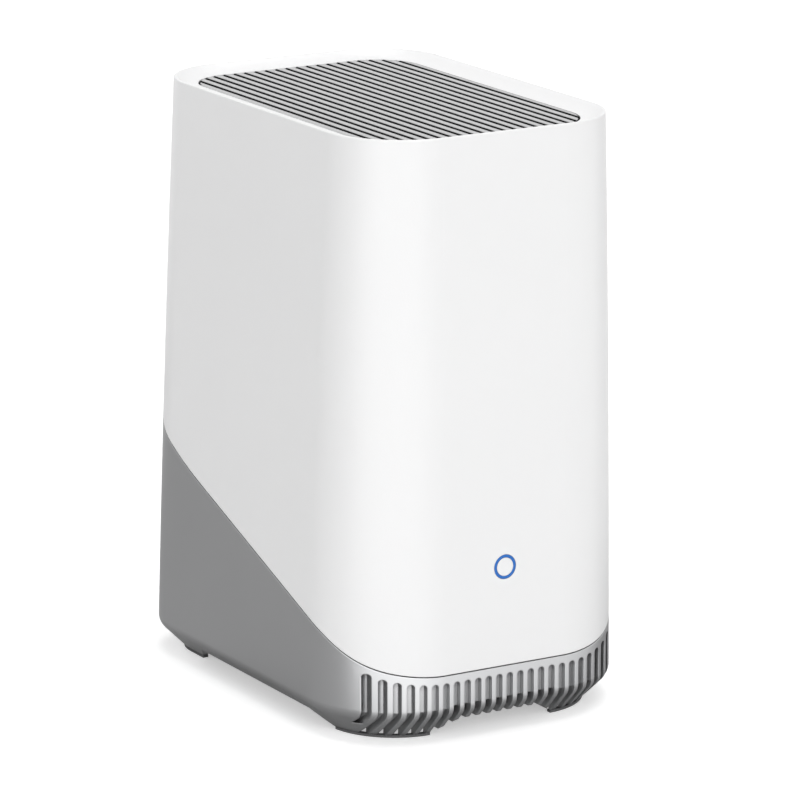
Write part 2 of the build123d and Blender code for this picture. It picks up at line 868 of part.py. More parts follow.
# Open tray: back plate, two rails, the door plate that closes the mouth, and the screw tab
def drive_tray():
    left, right, half = tray_box()
    low = base_underside + cover_recess
    door_top = low + tray_door_thickness
    high = tray_top()
    body = box_between((left, -half, low), (right, half, high))
    inner = half - tray_rail
    body -= box_between((left + tray_wall, -inner, door_top), (right + overrun, inner, high + overrun))
    tab_top = low + cover_thickness - cover_recess
    body += box_between((left, -half - tray_tab, low), (right, -half, tab_top))
    x, y = tray_screw_place()
    body -= rod(x, y, low - overrun, tab_top + overrun, tray_screw_radius + running_fit)
    body -= rod(x, y, low - overrun, low + tray_screw_sink, tray_screw_head_radius + running_fit)
    scoop = side_grip(low)
    holes = tray_hole_radius
    for y in (-half / 2, half / 2):
        for z in (door_top + drive_length / 4, door_top + drive_length * 3 / 4):
            body -= side_rod(y, z, left - overrun, left + tray_wall + overrun, holes)
    return body - scoop

# Scoop in the door that a fingertip pulls on
def side_grip(low):
    half = tray_grip_length / 2
    centre = low + tray_grip_depth - tray_pull_radius
    return deep_rod(tray_centre, centre, -half, half, tray_pull_radius)

def tray_screw():
    x, y = tray_screw_place()
    seat = base_underside + cover_recess + tray_screw_sink - running_fit
    body = screw(tray_screw_radius, tray_screw_length, tray_screw_head_radius, tray_screw_head_height)
    return Pos(x, y, seat) * body

def drive_board():
    left, right = tray_box()[:2]
    low = tray_top() + cage_clearance_top
    wall = cage_wall + tray_play
    reach = drive_board_width / 2
    return box_between((left - wall, -reach, low), (right + wall, reach, low + drive_board_thickness))

def drive_socket():
    high = tray_top() + cage_clearance_top
    half = drive_socket_width / 2
    near = tray_centre - drive_socket_thickness / 2
    body = box_between((near, -half, high - drive_socket_depth), (near + drive_socket_thickness, half, high))
    slot = drive_socket_thickness / 3
    mouth = high - drive_socket_depth - overrun
    for low, top in ((-half + slot, -slot), (slot, half - slot)):
        body -= box_between((near + slot, low, mouth), (near + 2 * slot, top, high - slot))
    return body

# Foot that carries a socket out from the board to the middle line of the rear panel
def board_stand(height, width, depth, rear, half):
    return box_between((-socket_stand, rear - depth, height - width / 2), (-half, rear, height + width / 2))

def dc_jack():
    rear = recess_face(jack_height) - running_clearance
    half = jack_width / 2
    body = box_between((-half, rear - jack_depth, jack_height - half), (half, rear, jack_height + half))
    body += board_stand(jack_height, jack_width, jack_depth - base_wall, rear - base_wall, half)
    body -= deep_rod(0, jack_height, rear - jack_bore_depth, rear + overrun, jack_bore)
    pin_front = rear - (jack_depth + jack_bore_depth) / 2
    return body + deep_rod(0, jack_height, pin_front, rear - jack_pin_back, jack_pin_radius)

def usb_socket():
    rear = recess_face(usb_height) - running_clearance
    front = rear - usb_depth
    half = usb_thickness / 2
    tall = usb_width / 2
    body = box_between((-half, front, usb_height - tall), (half, rear, usb_height + tall))
    inner = half - usb_wall
    reach = tall - usb_wall
    start = front + usb_back
    body -= box_between((-inner, start, usb_height - reach), (inner, rear + overrun, usb_height + reach))
    left = -inner + usb_wall
    right = left + usb_tongue_thickness
    tip = start + usb_tongue_length
    wide = usb_tongue_width / 2
    body += box_between((left, front, usb_height - wide), (right, tip, usb_height + wide))
    return body + board_stand(usb_height, usb_width, usb_depth / 2, rear - usb_depth / 4, half)

def ethernet_socket():
    rear = recess_face(ethernet_height) - running_clearance
    half = ethernet_thickness / 2
    tall = ethernet_width / 2
    front = rear - ethernet_depth
    body = box_between((-half, front, ethernet_height - tall), (half, rear, ethernet_height + tall))
    start = rear - ethernet_port_depth
    end = rear + overrun
    low = -ethernet_port_height / 2 - ethernet_tab_height / 2
    wide = ethernet_port_width / 2
    high = low + ethernet_port_height
    body -= box_between((low, start, ethernet_height - wide), (high, end, ethernet_height + wide))
    for width in ethernet_tab_widths:
        high += ethernet_tab_height
        wide = width / 2
        body -= box_between((low, start, ethernet_height - wide), (high, end, ethernet_height + wide))
    return body

def reset_switch_rear():
    return rear_face(reset_height) - base_wall - running_clearance - switch_nose

def reset_switch():
    rear = reset_switch_rear()
    front = rear - switch_depth
    half = switch_size / 2
    body = box_between((-socket_stand, front, reset_height - half), (half, rear, reset_height + half))
    bore = reset_plunger_radius + running_fit
    return body - deep_rod(0, reset_height, rear - switch_nose, rear + overrun, bore)

def reset_plunger():
    rear = reset_switch_rear()
    front = rear - switch_nose + 2 * reset_travel
    return deep_rod(0, reset_height, front, rear + switch_nose / 2, reset_plunger_radius)

# Sync button: face in the recess, flange behind the wall, plunger towards its switch
def sync_button():
    outer_end = recess_face(sync_height) + sync_proud
    flange_rear = rear_face(sync_height) - base_wall - running_clearance
    flange_front = flange_rear - sync_flange_depth
    body = deep_rod(0, sync_height, flange_front, outer_end, sync_radius)
    ring = body.edges().filter_by_position(Axis.Y, outer_end - fit_clearance, outer_end + fit_clearance)
    body = fillet(ring, sync_edge_round)
    body += deep_rod(0, sync_height, flange_front, flange_rear, sync_flange_radius)
    return body + deep_rod(0, sync_height, flange_front - plunger_length, flange_front, plunger_radius)

def sync_switch():
    flange_front = rear_face(sync_height) - base_wall - running_clearance - sync_flange_depth
    rear = flange_front - plunger_length + switch_nose
    half = switch_size / 2
    front = rear - switch_depth
    body = box_between((-socket_stand, front, sync_height - half), (half, rear, sync_height + half))
    bore_front = flange_front - plunger_length - 2 * sync_travel
    return body - deep_rod(0, sync_height, bore_front, rear + overrun, plunger_radius + running_fit)

def on_board(low, high, place, size):
    y, z = place
    return box_between((low, y - size[0] / 2, z - size[1] / 2), (high, y + size[0] / 2, z + size[1] / 2))

def processor_package():
    spot = (chip_place, chip_height)
    base = on_board(-socket_stand, chip_thickness / 2 - socket_stand, spot, (chip_size, chip_size))
    lid = (chip_size - 2 * chip_thickness, chip_size - 2 * chip_thickness)
    return base + on_board(-socket_stand, chip_thickness - socket_stand, spot, lid)

def thermal_pad():
    size = (chip_size - 2 * chip_thickness, chip_size - 2 * chip_thickness)
    low = chip_thickness - socket_stand
    return on_board(low, low + pad_gap, (chip_place, chip_height), size)

# Extruded comb: base towards the board, fins upright so that air from below runs between them
def heat_sink():
    low = chip_thickness + pad_gap - socket_stand
    spot = (chip_place, chip_height)
    body = on_board(low, low + sink_base, spot, (sink_width, sink_length))
    pitch = (sink_width - sink_fin_thickness) / (sink_fin_count - 1)
    for place in range(sink_fin_count):
        y = chip_place - sink_width / 2 + sink_fin_thickness / 2 + place * pitch
        size = (sink_fin_thickness, sink_length)
        body += on_board(low, low + sink_base + sink_fin_height, (y, chip_height), size)
    for y, z in sink_leg_places():
        body += side_rod(y, z, -socket_stand, low + sink_base, sink_leg_radius)
    return body

def sink_leg_places():
    reach = sink_width / 2 - window_margin
    return [(chip_place + side * reach, chip_height + end * reach) for side, end in ((-1, -1), (1, 1))]

def memory_packages():
    size = (memory_width, memory_length)
    spots = [(memory_place, memory_height), (memory_place + memory_pitch, memory_height)]
    return Compound([on_board(-socket_stand, memory_thickness - socket_stand, spot, size) for spot in spots])

def shield_can():
    top = shield_thickness - socket_stand
    body = on_board(-socket_stand, top, (shield_place, shield_height), (shield_length, shield_width))
    edges = body.edges().filter_by_position(Axis.X, top - fit_clearance, body_width)
    return fillet(edges, shield_round)

# Left and right sides of the speaker box, between the main board and the front post
def speaker_box_sides():
    return speaker_box_left, boss_places()[0][0] - post_width / 2 - speaker_post_gap

def speaker_radius():
    left, right = speaker_box_sides()
    return (right - left) / 2 - speaker_box_wall - speaker_side_room

def speaker_box():
    left, right = speaker_box_sides()
    x = (left + right) / 2
    y = speaker_place
    half = speaker_box_depth / 2
    low = base_underside + cover_recess + cover_thickness + speaker_stand
    high = low + speaker_box_height
    body = box_between((left, y - half, low), (right, y + half, high))
    body = fillet(body.edges().filter_by(Axis.Z), window_round)
    wall = speaker_box_wall
    inner = half - wall
    body -= box_between((left + wall, y - inner, low + wall), (right - wall, y + inner, high - wall))
    body -= rod(x, y, low - overrun, low + wall + overrun, speaker_radius() + running_clearance)
    leg = speaker_leg / 2
    for leg_x in (left + leg, right - leg):
        for leg_y in (y - half + leg, y + half - leg):
            body += rod(leg_x, leg_y, low - speaker_stand, low + fit_clearance, leg)
    return body

def speaker():
    left, right = speaker_box_sides()
    x = (left + right) / 2
    y = speaker_place
    cone_radius = speaker_radius()
    high = base_underside + cover_recess + cover_thickness + speaker_stand
    rim = rod(x, y, high - speaker_rim, high, cone_radius + speaker_rim)
    basket = Pos(x, y, high + speaker_basket / 2) * Cone(cone_radius, speaker_magnet_radius, speaker_basket)
    magnet = rod(x, y, high, high + speaker_depth, speaker_magnet_radius)
    hollow_low = high - speaker_rim
    hollow = Cone(cone_radius - speaker_rim, speaker_magnet_radius / 2, speaker_cone_depth)
    return rim + basket + magnet - Pos(x, y, hollow_low + speaker_cone_depth / 2) * hollow

def antennas():
    middle = rail_low() + side_rail_height / 2
    boards = []
    for side in (-1, 1):
        near, far = sorted((side * rail_outer(), side * (rail_outer() + antenna_thickness)))
        low = (near, fan_centre - antenna_length / 2, middle - antenna_width / 2)
        boards.append(box_between(low, (far, fan_centre + antenna_length / 2, middle + antenna_width / 2)))
    return Compound(boards)

def fan_hole_places():
    reach = fan_width / 2 - fan_hole_inset
    return [(side * reach, fan_centre + end * reach) for side in (-1, 1) for end in (-1, 1)]

def fan_frame():
    low = deck_height + deck_thickness
    high = low + fan_depth
    face = RectangleRounded(fan_width, fan_width, fan_corner_radius)
    body = Pos(0, fan_centre, low) * extrude(face, fan_depth)
    for x, y in fan_hole_places():
        side_x = math.copysign(fan_width, x)
        side_y = math.copysign(fan_width, y - fan_centre)
        near_x = x - math.copysign(fan_hole_margin, x)
        near_y = y - math.copysign(fan_hole_margin, y - fan_centre)
        lows = (min(near_x, side_x), min(near_y, side_y), low + fan_flange)
        highs = (max(near_x, side_x), max(near_y, side_y), high - fan_flange)
        body -= box_between(lows, highs)
        body -= rod(x, y, low - overrun, high + overrun, fan_hole_radius)
    body -= rod(0, fan_centre, low - overrun, high + overrun, fan_bore)
    body += rod(0, fan_centre, low, low + fan_motor_depth, fan_motor_radius)
    for arm in range(fan_arm_count):
        half = fan_arm_width / 2
        strip = box_between((0, -half, 0), (fan_bore + fan_flange / 2, half, fan_motor_depth))
        body += Pos(0, fan_centre, low) * Rot(Z=45 + arm * 360 / fan_arm_count) * strip
    tube_high = high - fan_top_gap - fan_hub_wall - running_clearance
    body += rod(0, fan_centre, low, tube_high, fan_tube_radius)
    return body - rod(0, fan_centre, low + fan_motor_depth / 2, high, fan_shaft_radius + fan_shaft_clearance)

def fan_stator():
    low = deck_height + deck_thickness + fan_motor_depth
    high = deck_height + deck_thickness + fan_depth - fan_top_gap - 2 * fan_hub_wall
    bore = rod(0, fan_centre, low - overrun, high + overrun, fan_tube_radius + running_fit)
    return rod(0, fan_centre, low, high, fan_stator_radius) - bore

def fan_rotor():
    low = deck_height + deck_thickness
    high = low + fan_depth - fan_top_gap
    hub_low = low + fan_motor_depth + running_clearance
    body = rod(0, fan_centre, hub_low, high, fan_hub_radius)
    body = fillet(edges_at(body, high), fan_hub_wall)
    body -= rod(0, fan_centre, hub_low - overrun, high - fan_hub_wall, fan_hub_radius - fan_hub_wall)
    shaft_low = low + fan_motor_depth / 2 + running_clearance
    body += rod(0, fan_centre, shaft_low, high - fan_hub_wall / 2, fan_shaft_radius)
    middle = (hub_low + high) / 2
    blade = fan_blade() & rod(0, 0, -fan_depth, fan_depth, fan_bore - fan_tip_gap)
    for place in range(fan_blade_count):
        body += Pos(0, fan_centre, middle) * Rot(Z=place * 360 / fan_blade_count) * blade
    return body

# One twisted blade, from the hub's wall out to the bore, swept back towards its tip
def fan_blade():
    sections = []
    root = fan_hub_radius - fan_hub_wall / 2
    for radius, angle, sweep in (
        (root, fan_blade_root_angle, 0),
        (fan_bore, fan_blade_tip_angle, fan_blade_sweep),
    ):
        chord = fan_blade_height / math.sin(math.radians(angle))
        side = radius * math.tan(math.radians(sweep))
        along = (0, math.cos(math.radians(angle)), math.sin(math.radians(angle)))
        plane = Plane(origin=(radius, -side, 0), x_dir=along, z_dir=(1, 0, 0))
        sections.append(plane * Rectangle(chord, fan_blade_thickness))
    return loft(sections, ruled=True)

def fan_screws():
    seat = deck_height + deck_thickness + fan_flange
    return Compound([Pos(x, y, seat) * Rot(X=180) * small_screw() for x, y in fan_hole_places()])

for node, build in (
    ("base_chassis", base_chassis),
    ("foot_pads", foot_pads),
    ("outer_shell", outer_shell),
    ("top_grille", top_grille),
    ("dust_filter", dust_filter),
    ("ring_light_guide", ring_light_guide),
    ("ring_centre_cap", ring_centre_cap),
    ("status_board", status_board),
    ("status_leds", status_leds),
    ("status_board_screws", status_board_screws),
    ("bottom_cover", bottom_cover),
    ("cover_screws", cover_screws),
    ("inner_frame", inner_frame),
    ("board_carrier", board_carrier),
    ("main_board", main_board),
    ("board_screws", board_screws),
    ("drive_cage", drive_cage),
    ("drive_tray", drive_tray),
    ("tray_screw", tray_screw),
    ("drive_board", drive_board),
    ("drive_socket", drive_socket),
    ("dc_jack", dc_jack),
    ("usb_socket", usb_socket),
    ("ethernet_socket", ethernet_socket),
    ("reset_switch", reset_switch),
    ("reset_plunger", reset_plunger),
    ("sync_button", sync_button),
    ("sync_switch", sync_switch),
    ("processor_package", processor_package),
    ("thermal_pad", thermal_pad),
    ("heat_sink", heat_sink),
    ("memory_packages", memory_packages),
    ("shield_can", shield_can),
    ("speaker_box", speaker_box),
    ("speaker", speaker),
    ("antennas", antennas),
    ("fan_frame", fan_frame),
    ("fan_stator", fan_stator),
    ("fan_rotor", fan_rotor),
    ("fan_screws", fan_screws),
):
    save(node, build())
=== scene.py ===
# %% [markdown]
# # Security camera base station
# The object is a tall rounded box: a white shell over a silver-grey base, an air grille
# in the top and a slotted skirt that stands on four thin feet. The CAD model gives every
# solid its place and size. This lesson adds the finishes, the small fittings and the light.

# %% Load the frame
import bpy
import bmesh
import json
import math
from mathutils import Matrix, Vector


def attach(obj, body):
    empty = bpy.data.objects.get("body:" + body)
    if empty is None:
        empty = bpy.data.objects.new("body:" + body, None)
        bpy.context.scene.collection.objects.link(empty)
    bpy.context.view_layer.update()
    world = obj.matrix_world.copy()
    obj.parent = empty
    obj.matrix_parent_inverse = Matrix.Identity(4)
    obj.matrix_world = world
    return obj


MM = 0.001
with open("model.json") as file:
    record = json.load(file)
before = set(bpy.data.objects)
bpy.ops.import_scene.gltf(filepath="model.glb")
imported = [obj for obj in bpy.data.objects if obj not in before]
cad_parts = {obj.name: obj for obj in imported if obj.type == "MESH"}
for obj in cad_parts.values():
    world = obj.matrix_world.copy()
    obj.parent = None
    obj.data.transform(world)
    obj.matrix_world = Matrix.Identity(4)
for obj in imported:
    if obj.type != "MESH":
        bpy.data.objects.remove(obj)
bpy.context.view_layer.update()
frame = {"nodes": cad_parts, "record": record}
nodes = frame["nodes"]


def in_metres(values):
    return [c * MM for c in values]


# %% [markdown]
# ## Camera
# The photograph was taken from the left and a little above, with a long lens, so the
# upright edges stay nearly parallel. The direction is given as an aim point and the
# camera's own place, which keeps the view easy to change.

# %% Camera
aim_point = Vector((5.8, 0.0, 89.2)) * MM
camera_place = Vector((-788.2, -1348.1, 491.7)) * MM
camera_data = bpy.data.cameras.new("camera")
camera_data.sensor_width = 36.0
camera_data.lens = 227.6
camera_data.clip_start = 0.05
camera = bpy.data.objects.new("camera", camera_data)
camera.location = camera_place
camera.rotation_euler = (aim_point - camera_place).to_track_quat("-Z", "Y").to_euler()
bpy.context.collection.objects.link(camera)
bpy.context.scene.camera = camera
bpy.context.scene.view_settings.view_transform = "Standard"
print("camera distance", round((aim_point - camera_place).length, 3))

# %% [markdown]
# ## Helpers for node trees
# Every floor, light and finish below is a small tree of nodes. Written out in full, such a
# tree is long and hard to read, so the steps that come back are functions: each adds its
# node, feeds its inputs and returns the output that the next step needs.

# %% Helpers for numbers and vectors
def link(tree, output, socket):
    tree.links.new(output, socket)


def feed(tree, value, socket):
    """Gives a socket a constant, or the output of another node."""
    if isinstance(value, bpy.types.NodeSocket):
        link(tree, value, socket)
    else:
        socket.default_value = value


def math_node(tree, operation, first, second=None):
    node = tree.nodes.new("ShaderNodeMath")
    node.operation = operation
    feed(tree, first, node.inputs[0])
    if second is not None:
        feed(tree, second, node.inputs[1])
    return node.outputs[0]


def vector_math(tree, operation, first, second=None):
    node = tree.nodes.new("ShaderNodeVectorMath")
    node.operation = operation
    feed(tree, first, node.inputs[0])
    if second is not None:
        feed(tree, second, node.inputs[1])
    return node.outputs["Value" if operation in ("LENGTH", "DOT_PRODUCT") else "Vector"]


def split(tree, vector):
    """The x, y and z of a vector, as three outputs."""
    parts = tree.nodes.new("ShaderNodeSeparateXYZ")
    link(tree, vector, parts.inputs[0])
    return parts.outputs


def ramp(tree, value, start, end, low, high, curve="LINEAR"):
    """A number that goes from low to high while the value goes from start to end."""
    node = tree.nodes.new("ShaderNodeMapRange")
    node.interpolation_type = curve
    feed(tree, value, node.inputs["Value"])
    feed(tree, start, node.inputs["From Min"])
    feed(tree, end, node.inputs["From Max"])
    feed(tree, low, node.inputs["To Min"])
    feed(tree, high, node.inputs["To Max"])
    return node.outputs[0]


# %% Helpers for materials
def new_material(name):
    mat = bpy.data.materials.new(name)
    mat.use_nodes = True
    tree = mat.node_tree
    tree.nodes.remove(tree.nodes["Principled BSDF"])
    return mat, tree, tree.nodes["Material Output"]


def object_place(tree):
    """The place on the object, which a pattern can follow without any unwrapping."""
    return tree.nodes.new("ShaderNodeTexCoord").outputs["Object"]


def facing(tree, direction):
    """1 where a face looks along a direction or against it, 0 where it lies along it."""
    normal = tree.nodes.new("ShaderNodeNewGeometry").outputs["True Normal"]
    return math_node(tree, "ABSOLUTE", vector_math(tree, "DOT_PRODUCT", normal, direction))


def mix_colors(tree, share, first, second):
    mix = tree.nodes.new("ShaderNodeMix")
    mix.data_type = "RGBA"
    link(tree, share, mix.inputs["Factor"])
    feed(tree, first, mix.inputs[6])
    feed(tree, second, mix.inputs[7])
    return mix.outputs[2]


def mix_shaders(tree, share, first, second):
    mix = tree.nodes.new("ShaderNodeMixShader")
    link(tree, share, mix.inputs["Fac"])
    link(tree, first.outputs[0], mix.inputs[1])
    link(tree, second.outputs[0], mix.inputs[2])
    return mix


print("helpers for node trees ready")

# %% [markdown]
# ## Studio
# A product like this is photographed on a white sweep. The floor here is a plain pale
# plane. To the camera it is lifted to white by a little emission, while the light that
# reaches the object stays soft, and the floor keeps its shadow. The satin coat of the base
# mirrors its surroundings, so what glossy rays see is set by itself: a floor and a room that
# are brighter on the side of the main lamps. From below the floor is clear, so that the
# underside and the open drive tray can be looked at.

# %% One number for each kind of ray
def by_ray(tree, plain, camera_ray, glossy_ray):
    """One number for plain light, one for what the camera sees and one for reflections."""
    path = tree.nodes.new("ShaderNodeLightPath")
    total = plain
    for label, number in (("Is Camera Ray", camera_ray), ("Is Glossy Ray", glossy_ray),
                          ("Is Transmission Ray", camera_ray)):
        share = math_node(tree, "MULTIPLY", path.outputs[label], number - plain)
        total = math_node(tree, "ADD", share, total)
    return total


# %% Numbers that change across the room
def grows_along(tree, place, direction, start, end, low, high):
    """Grows softly from low to high on the way from start to end in one direction."""
    along = vector_math(tree, "DOT_PRODUCT", place, direction)
    return ramp(tree, along, start, end, low, high, curve="SMOOTHSTEP")


def grows_outwards(tree, place, half_size, start, end, low, high):
    """Changes with the distance from the middle, in units of a half size."""
    away = vector_math(tree, "LENGTH", vector_math(tree, "DIVIDE", place, (*half_size, 1.0)))
    return ramp(tree, away, start, end, low, high)


# %% Floor
to_front = (0.0, -1.0, 0.0)
to_right = (1.0, 0.0, 0.0)
to_fill = (0.90, 0.43, 0.0)
body_half_size = (0.053, 0.074)
# The distances between which the lamps' own light on the floor fades, in metres.
far_from_lamps = (0.6, 1.6)
# Where a change starts and ends, and the number it goes from and to.
mirrored_front = (0.055, 0.125, 0.40, 2.0)
mirrored_fall_off = (-0.05, 0.09, 1.0, 0.62)
mirrored_fill = (0.05, 0.30, 0.0, 0.7)
mirrored_painted_shadow = (1.0, 1.5, 0.38, 1.0)


def mirrored_floor(tree, place):
    """Painted reflection for glossy rays: a painted shadow close to the body, dimmer on its
    right.
    """
    front = grows_along(tree, place, to_front, *mirrored_front)
    fall_off = grows_along(tree, place, to_right, *mirrored_fall_off)
    fill = grows_along(tree, place, to_fill, *mirrored_fill)
    # Painted shadow of the body in the mirrored floor.
    shade = grows_outwards(tree, place, body_half_size, *mirrored_painted_shadow)
    room = math_node(tree, "ADD", math_node(tree, "MULTIPLY", front, fall_off), fill)
    return math_node(tree, "MULTIPLY", room, shade)


def make_floor_finish(paleness, camera_lift, far_lift):
    mat, tree, out = new_material("pale_floor")
    place = object_place(tree)
    paint = tree.nodes.new("ShaderNodeBsdfDiffuse")
    paint.inputs["Color"].default_value = (paleness, paleness, paleness, 1)
    lift = grows_outwards(tree, place, (1.0, 1.0), *far_from_lamps, camera_lift, far_lift)
    lift = math_node(tree, "MULTIPLY", lift, by_ray(tree, 0.0, 1.0, 0.0))
    glow = tree.nodes.new("ShaderNodeEmission")
    link(tree, lift, glow.inputs["Strength"])
    lifted = tree.nodes.new("ShaderNodeAddShader")
    link(tree, paint.outputs[0], lifted.inputs[0])
    link(tree, glow.outputs[0], lifted.inputs[1])
    mirrored = tree.nodes.new("ShaderNodeEmission")
    link(tree, mirrored_floor(tree, place), mirrored.inputs["Strength"])
    from_above = mix_shaders(tree, by_ray(tree, 0.0, 0.0, 1.0), lifted, mirrored)
    below = tree.nodes.new("ShaderNodeNewGeometry").outputs["Backfacing"]
    clear = tree.nodes.new("ShaderNodeBsdfTransparent")
    link(tree, mix_shaders(tree, below, from_above, clear).outputs[0], out.inputs["Surface"])
    return mat


def make_floor(half_width, finish):
    mesh = bpy.data.meshes.new("floor")
    w = half_width
    mesh.from_pydata([(-w, -w, 0), (w, -w, 0), (w, w, 0), (-w, w, 0)], [], [(0, 1, 2, 3)])
    mesh.materials.append(finish)
    floor = bpy.data.objects.new("floor", mesh)
    bpy.context.collection.objects.link(floor)


make_floor(6.0, make_floor_finish(paleness=0.80, camera_lift=0.42, far_lift=0.63))
print("floor made")

# %% World
to_key = (-0.35, -0.94, 0.0)
mirrored_room = (-0.6, 1.0, 0.95, 1.6)


def make_world(ambient):
    world = bpy.data.worlds.new("studio")
    bpy.context.scene.world = world
    world.use_nodes = True
    tree = world.node_tree
    back = tree.nodes["Background"]
    back.inputs["Color"].default_value = (1, 1, 1, 1)
    direction = tree.nodes.new("ShaderNodeTexCoord").outputs["Generated"]
    room = grows_along(tree, direction, to_key, *mirrored_room)
    in_mirror = math_node(tree, "MULTIPLY", room, by_ray(tree, 0.0, 0.0, 1.0))
    strength = math_node(tree, "ADD", in_mirror, by_ray(tree, ambient, 1.0, 0.0))
    link(tree, strength, back.inputs["Strength"])


make_world(ambient=0.57)
print("world made")

# %% [markdown]
# ## Lamps
# Soft boxes give broad, soft light. The front box and the box above do most of the work, the
# strip on the left lights the rounded corner, and a weak strip behind picks out the far rim.

# %% Lamps
body_middle = Vector((0, 0, 0.09))
# The name, the place, the width and height in metres, and the power in watts.
lamps = (
    ("front_box", (-0.3, -2.3, 0.9), 1.6, 1.6, 17),
    ("corner_strip", (-1.7, -1.25, 0.55), 0.7, 1.3, 9),
    ("top_box", (0.3, 0.1, 2.2), 1.4, 1.4, 20),
    ("rim_strip", (-0.45, 1.9, 1.3), 0.7, 0.5, 4.5),
)
for name, place, width, height, power in lamps:
    data = bpy.data.lights.new(name, "AREA")
    data.shape = "RECTANGLE"
    data.size = width
    data.size_y = height
    data.energy = power
    lamp = bpy.data.objects.new(name, data)
    lamp.location = place
    lamp.rotation_euler = (body_middle - Vector(place)).to_track_quat("-Z", "Y").to_euler()
    bpy.context.collection.objects.link(lamp)
print("lamps", [name for name, *_ in lamps])

# %% [markdown]
# ## Shared surface effects
# Each effect is a node group that gives a mask, a height, a shade or a normal, and the
# materials choose its size: moulding grain, softly rounded edges, painted shade in slots and
# gaps, a brushed grain, the cells of foam, and masks for a box or for a round zone of the object.
# Built once and shared, an effect can be mended in one place for every finish that uses it.

# %% Group helper
def new_group(name, inputs, outputs):
    group = bpy.data.node_groups.new(name, "ShaderNodeTree")
    kinds = {float: "NodeSocketFloat", tuple: "NodeSocketVector"}
    for label, value in inputs.items():
        socket = group.interface.new_socket(label, in_out="INPUT",
                                            socket_type=kinds[type(value)])
        socket.default_value = value
    for label, kind in outputs.items():
        group.interface.new_socket(label, in_out="OUTPUT", socket_type=kind)
    start = group.nodes.new("NodeGroupInput")
    end = group.nodes.new("NodeGroupOutput")
    return group, start, end


def add_noise(tree, place, size, detail):
    """A soft random pattern with spots of about the given size."""
    noise = tree.nodes.new("ShaderNodeTexNoise")
    noise.inputs["Detail"].default_value = detail
    link(tree, place, noise.inputs["Vector"])
    link(tree, math_node(tree, "DIVIDE", 1.0, size), noise.inputs["Scale"])
    return noise.outputs["Fac"]


# %% Moulding grain: fine height, and slow patches that vary colour and gloss
def make_grain_group():
    group, start, end = new_group(
        "moulded_grain",
        {"Grain Size": 0.0004, "Patch Size": 0.05},
        {"Height": "NodeSocketFloat", "Patch": "NodeSocketFloat"},
    )
    place = object_place(group)
    grain = add_noise(group, place, start.outputs["Grain Size"], detail=2.0)
    patch = add_noise(group, place, start.outputs["Patch Size"], detail=3.0)
    link(group, grain, end.inputs["Height"])
    link(group, patch, end.inputs["Patch"])
    return group


grain_group = make_grain_group()
print("effect", grain_group.name)

# %% Soft edges: the normal of a small rounding on every sharp edge
def make_soft_edge_group():
    group, start, end = new_group(
        "soft_edges", {"Radius": 0.0003}, {"Normal": "NodeSocketVector"}
    )
    bevel = group.nodes.new("ShaderNodeBevel")
    bevel.samples = 6
    link(group, start.outputs["Radius"], bevel.inputs["Radius"])
    link(group, bevel.outputs["Normal"], end.inputs["Normal"])
    return group


soft_edge_group = make_soft_edge_group()
print("effect", soft_edge_group.name)

# %% Painted shade in cavities: 1 in the open, less in slots and gaps
shut_in = 0.1
in_the_open = 0.75


def make_cavity_group():
    group, start, end = new_group(
        "painted_cavity_shade", {"Reach": 0.003, "Darkest": 0.3}, {"Shade": "NodeSocketFloat"}
    )
    # Painted shade: occlusion darkens the colour where the surface is shut in.
    openness = group.nodes.new("ShaderNodeAmbientOcclusion")
    openness.samples = 8
    link(group, start.outputs["Reach"], openness.inputs["Distance"])
    shade = ramp(group, openness.outputs["AO"], shut_in, in_the_open,
                 start.outputs["Darkest"], 1.0)
    link(group, shade, end.inputs["Shade"])
    return group


painted_shade_group = make_cavity_group()
print("effect", painted_shade_group.name)

# %% Brushed grain: noise drawn out along one axis
def make_brushed_group():
    group, start, end = new_group(
        "brushed_grain",
        {"Stretch": (1.0, 1.0, 0.05), "Line Size": 0.0003},
        {"Height": "NodeSocketFloat"},
    )
    drawn = vector_math(group, "MULTIPLY", object_place(group), start.outputs["Stretch"])
    lines = add_noise(group, drawn, start.outputs["Line Size"], detail=2.0)
    link(group, lines, end.inputs["Height"])
    return group


brushed_group = make_brushed_group()
print("effect", brushed_group.name)

# %% Cells of foam: hollows with thin walls between them
cell_wall_height = 0.3


def make_cell_group():
    group, start, end = new_group(
        "foam_cells", {"Cell Size": 0.0009}, {"Height": "NodeSocketFloat"}
    )
    cells = group.nodes.new("ShaderNodeTexVoronoi")
    cells.feature = "DISTANCE_TO_EDGE"
    link(group, object_place(group), cells.inputs["Vector"])
    link(group, math_node(group, "DIVIDE", 1.0, start.outputs["Cell Size"]),
         cells.inputs["Scale"])
    height = math_node(group, "MINIMUM", cells.outputs["Distance"], cell_wall_height)
    link(group, height, end.inputs["Height"])
    return group


cell_group = make_cell_group()
print("effect", cell_group.name)

# %% Mask of a box: 1 inside, 0 outside
def make_box_mask_group():
    group, start, end = new_group(
        "box_mask",
        {"Centre": (0.0, 0.0, 0.0), "Half Size": (0.01, 0.01, 0.01)},
        {"Mask": "NodeSocketFloat"},
    )
    away = vector_math(group, "SUBTRACT", object_place(group), start.outputs["Centre"])
    away = vector_math(group, "ABSOLUTE", away)
    x, y, z = split(group, vector_math(group, "SUBTRACT", start.outputs["Half Size"], away))
    least = math_node(group, "MINIMUM", math_node(group, "MINIMUM", x, y), z)
    link(group, math_node(group, "GREATER_THAN", least, 0.0), end.inputs["Mask"])
    return group


box_mask_group = make_box_mask_group()
print("effect", box_mask_group.name)

# %% Distance from an axis: for round zones and for the glow round the ring light
def make_axis_group():
    group, start, end = new_group(
        "axis_distance",
        {"Point": (0.0, 0.0, 0.0), "Across": (1.0, 0.0, 1.0)},
        {"Distance": "NodeSocketFloat"},
    )
    away = vector_math(group, "SUBTRACT", object_place(group), start.outputs["Point"])
    away = vector_math(group, "MULTIPLY", away, start.outputs["Across"])
    link(group, vector_math(group, "LENGTH", away), end.inputs["Distance"])
    return group


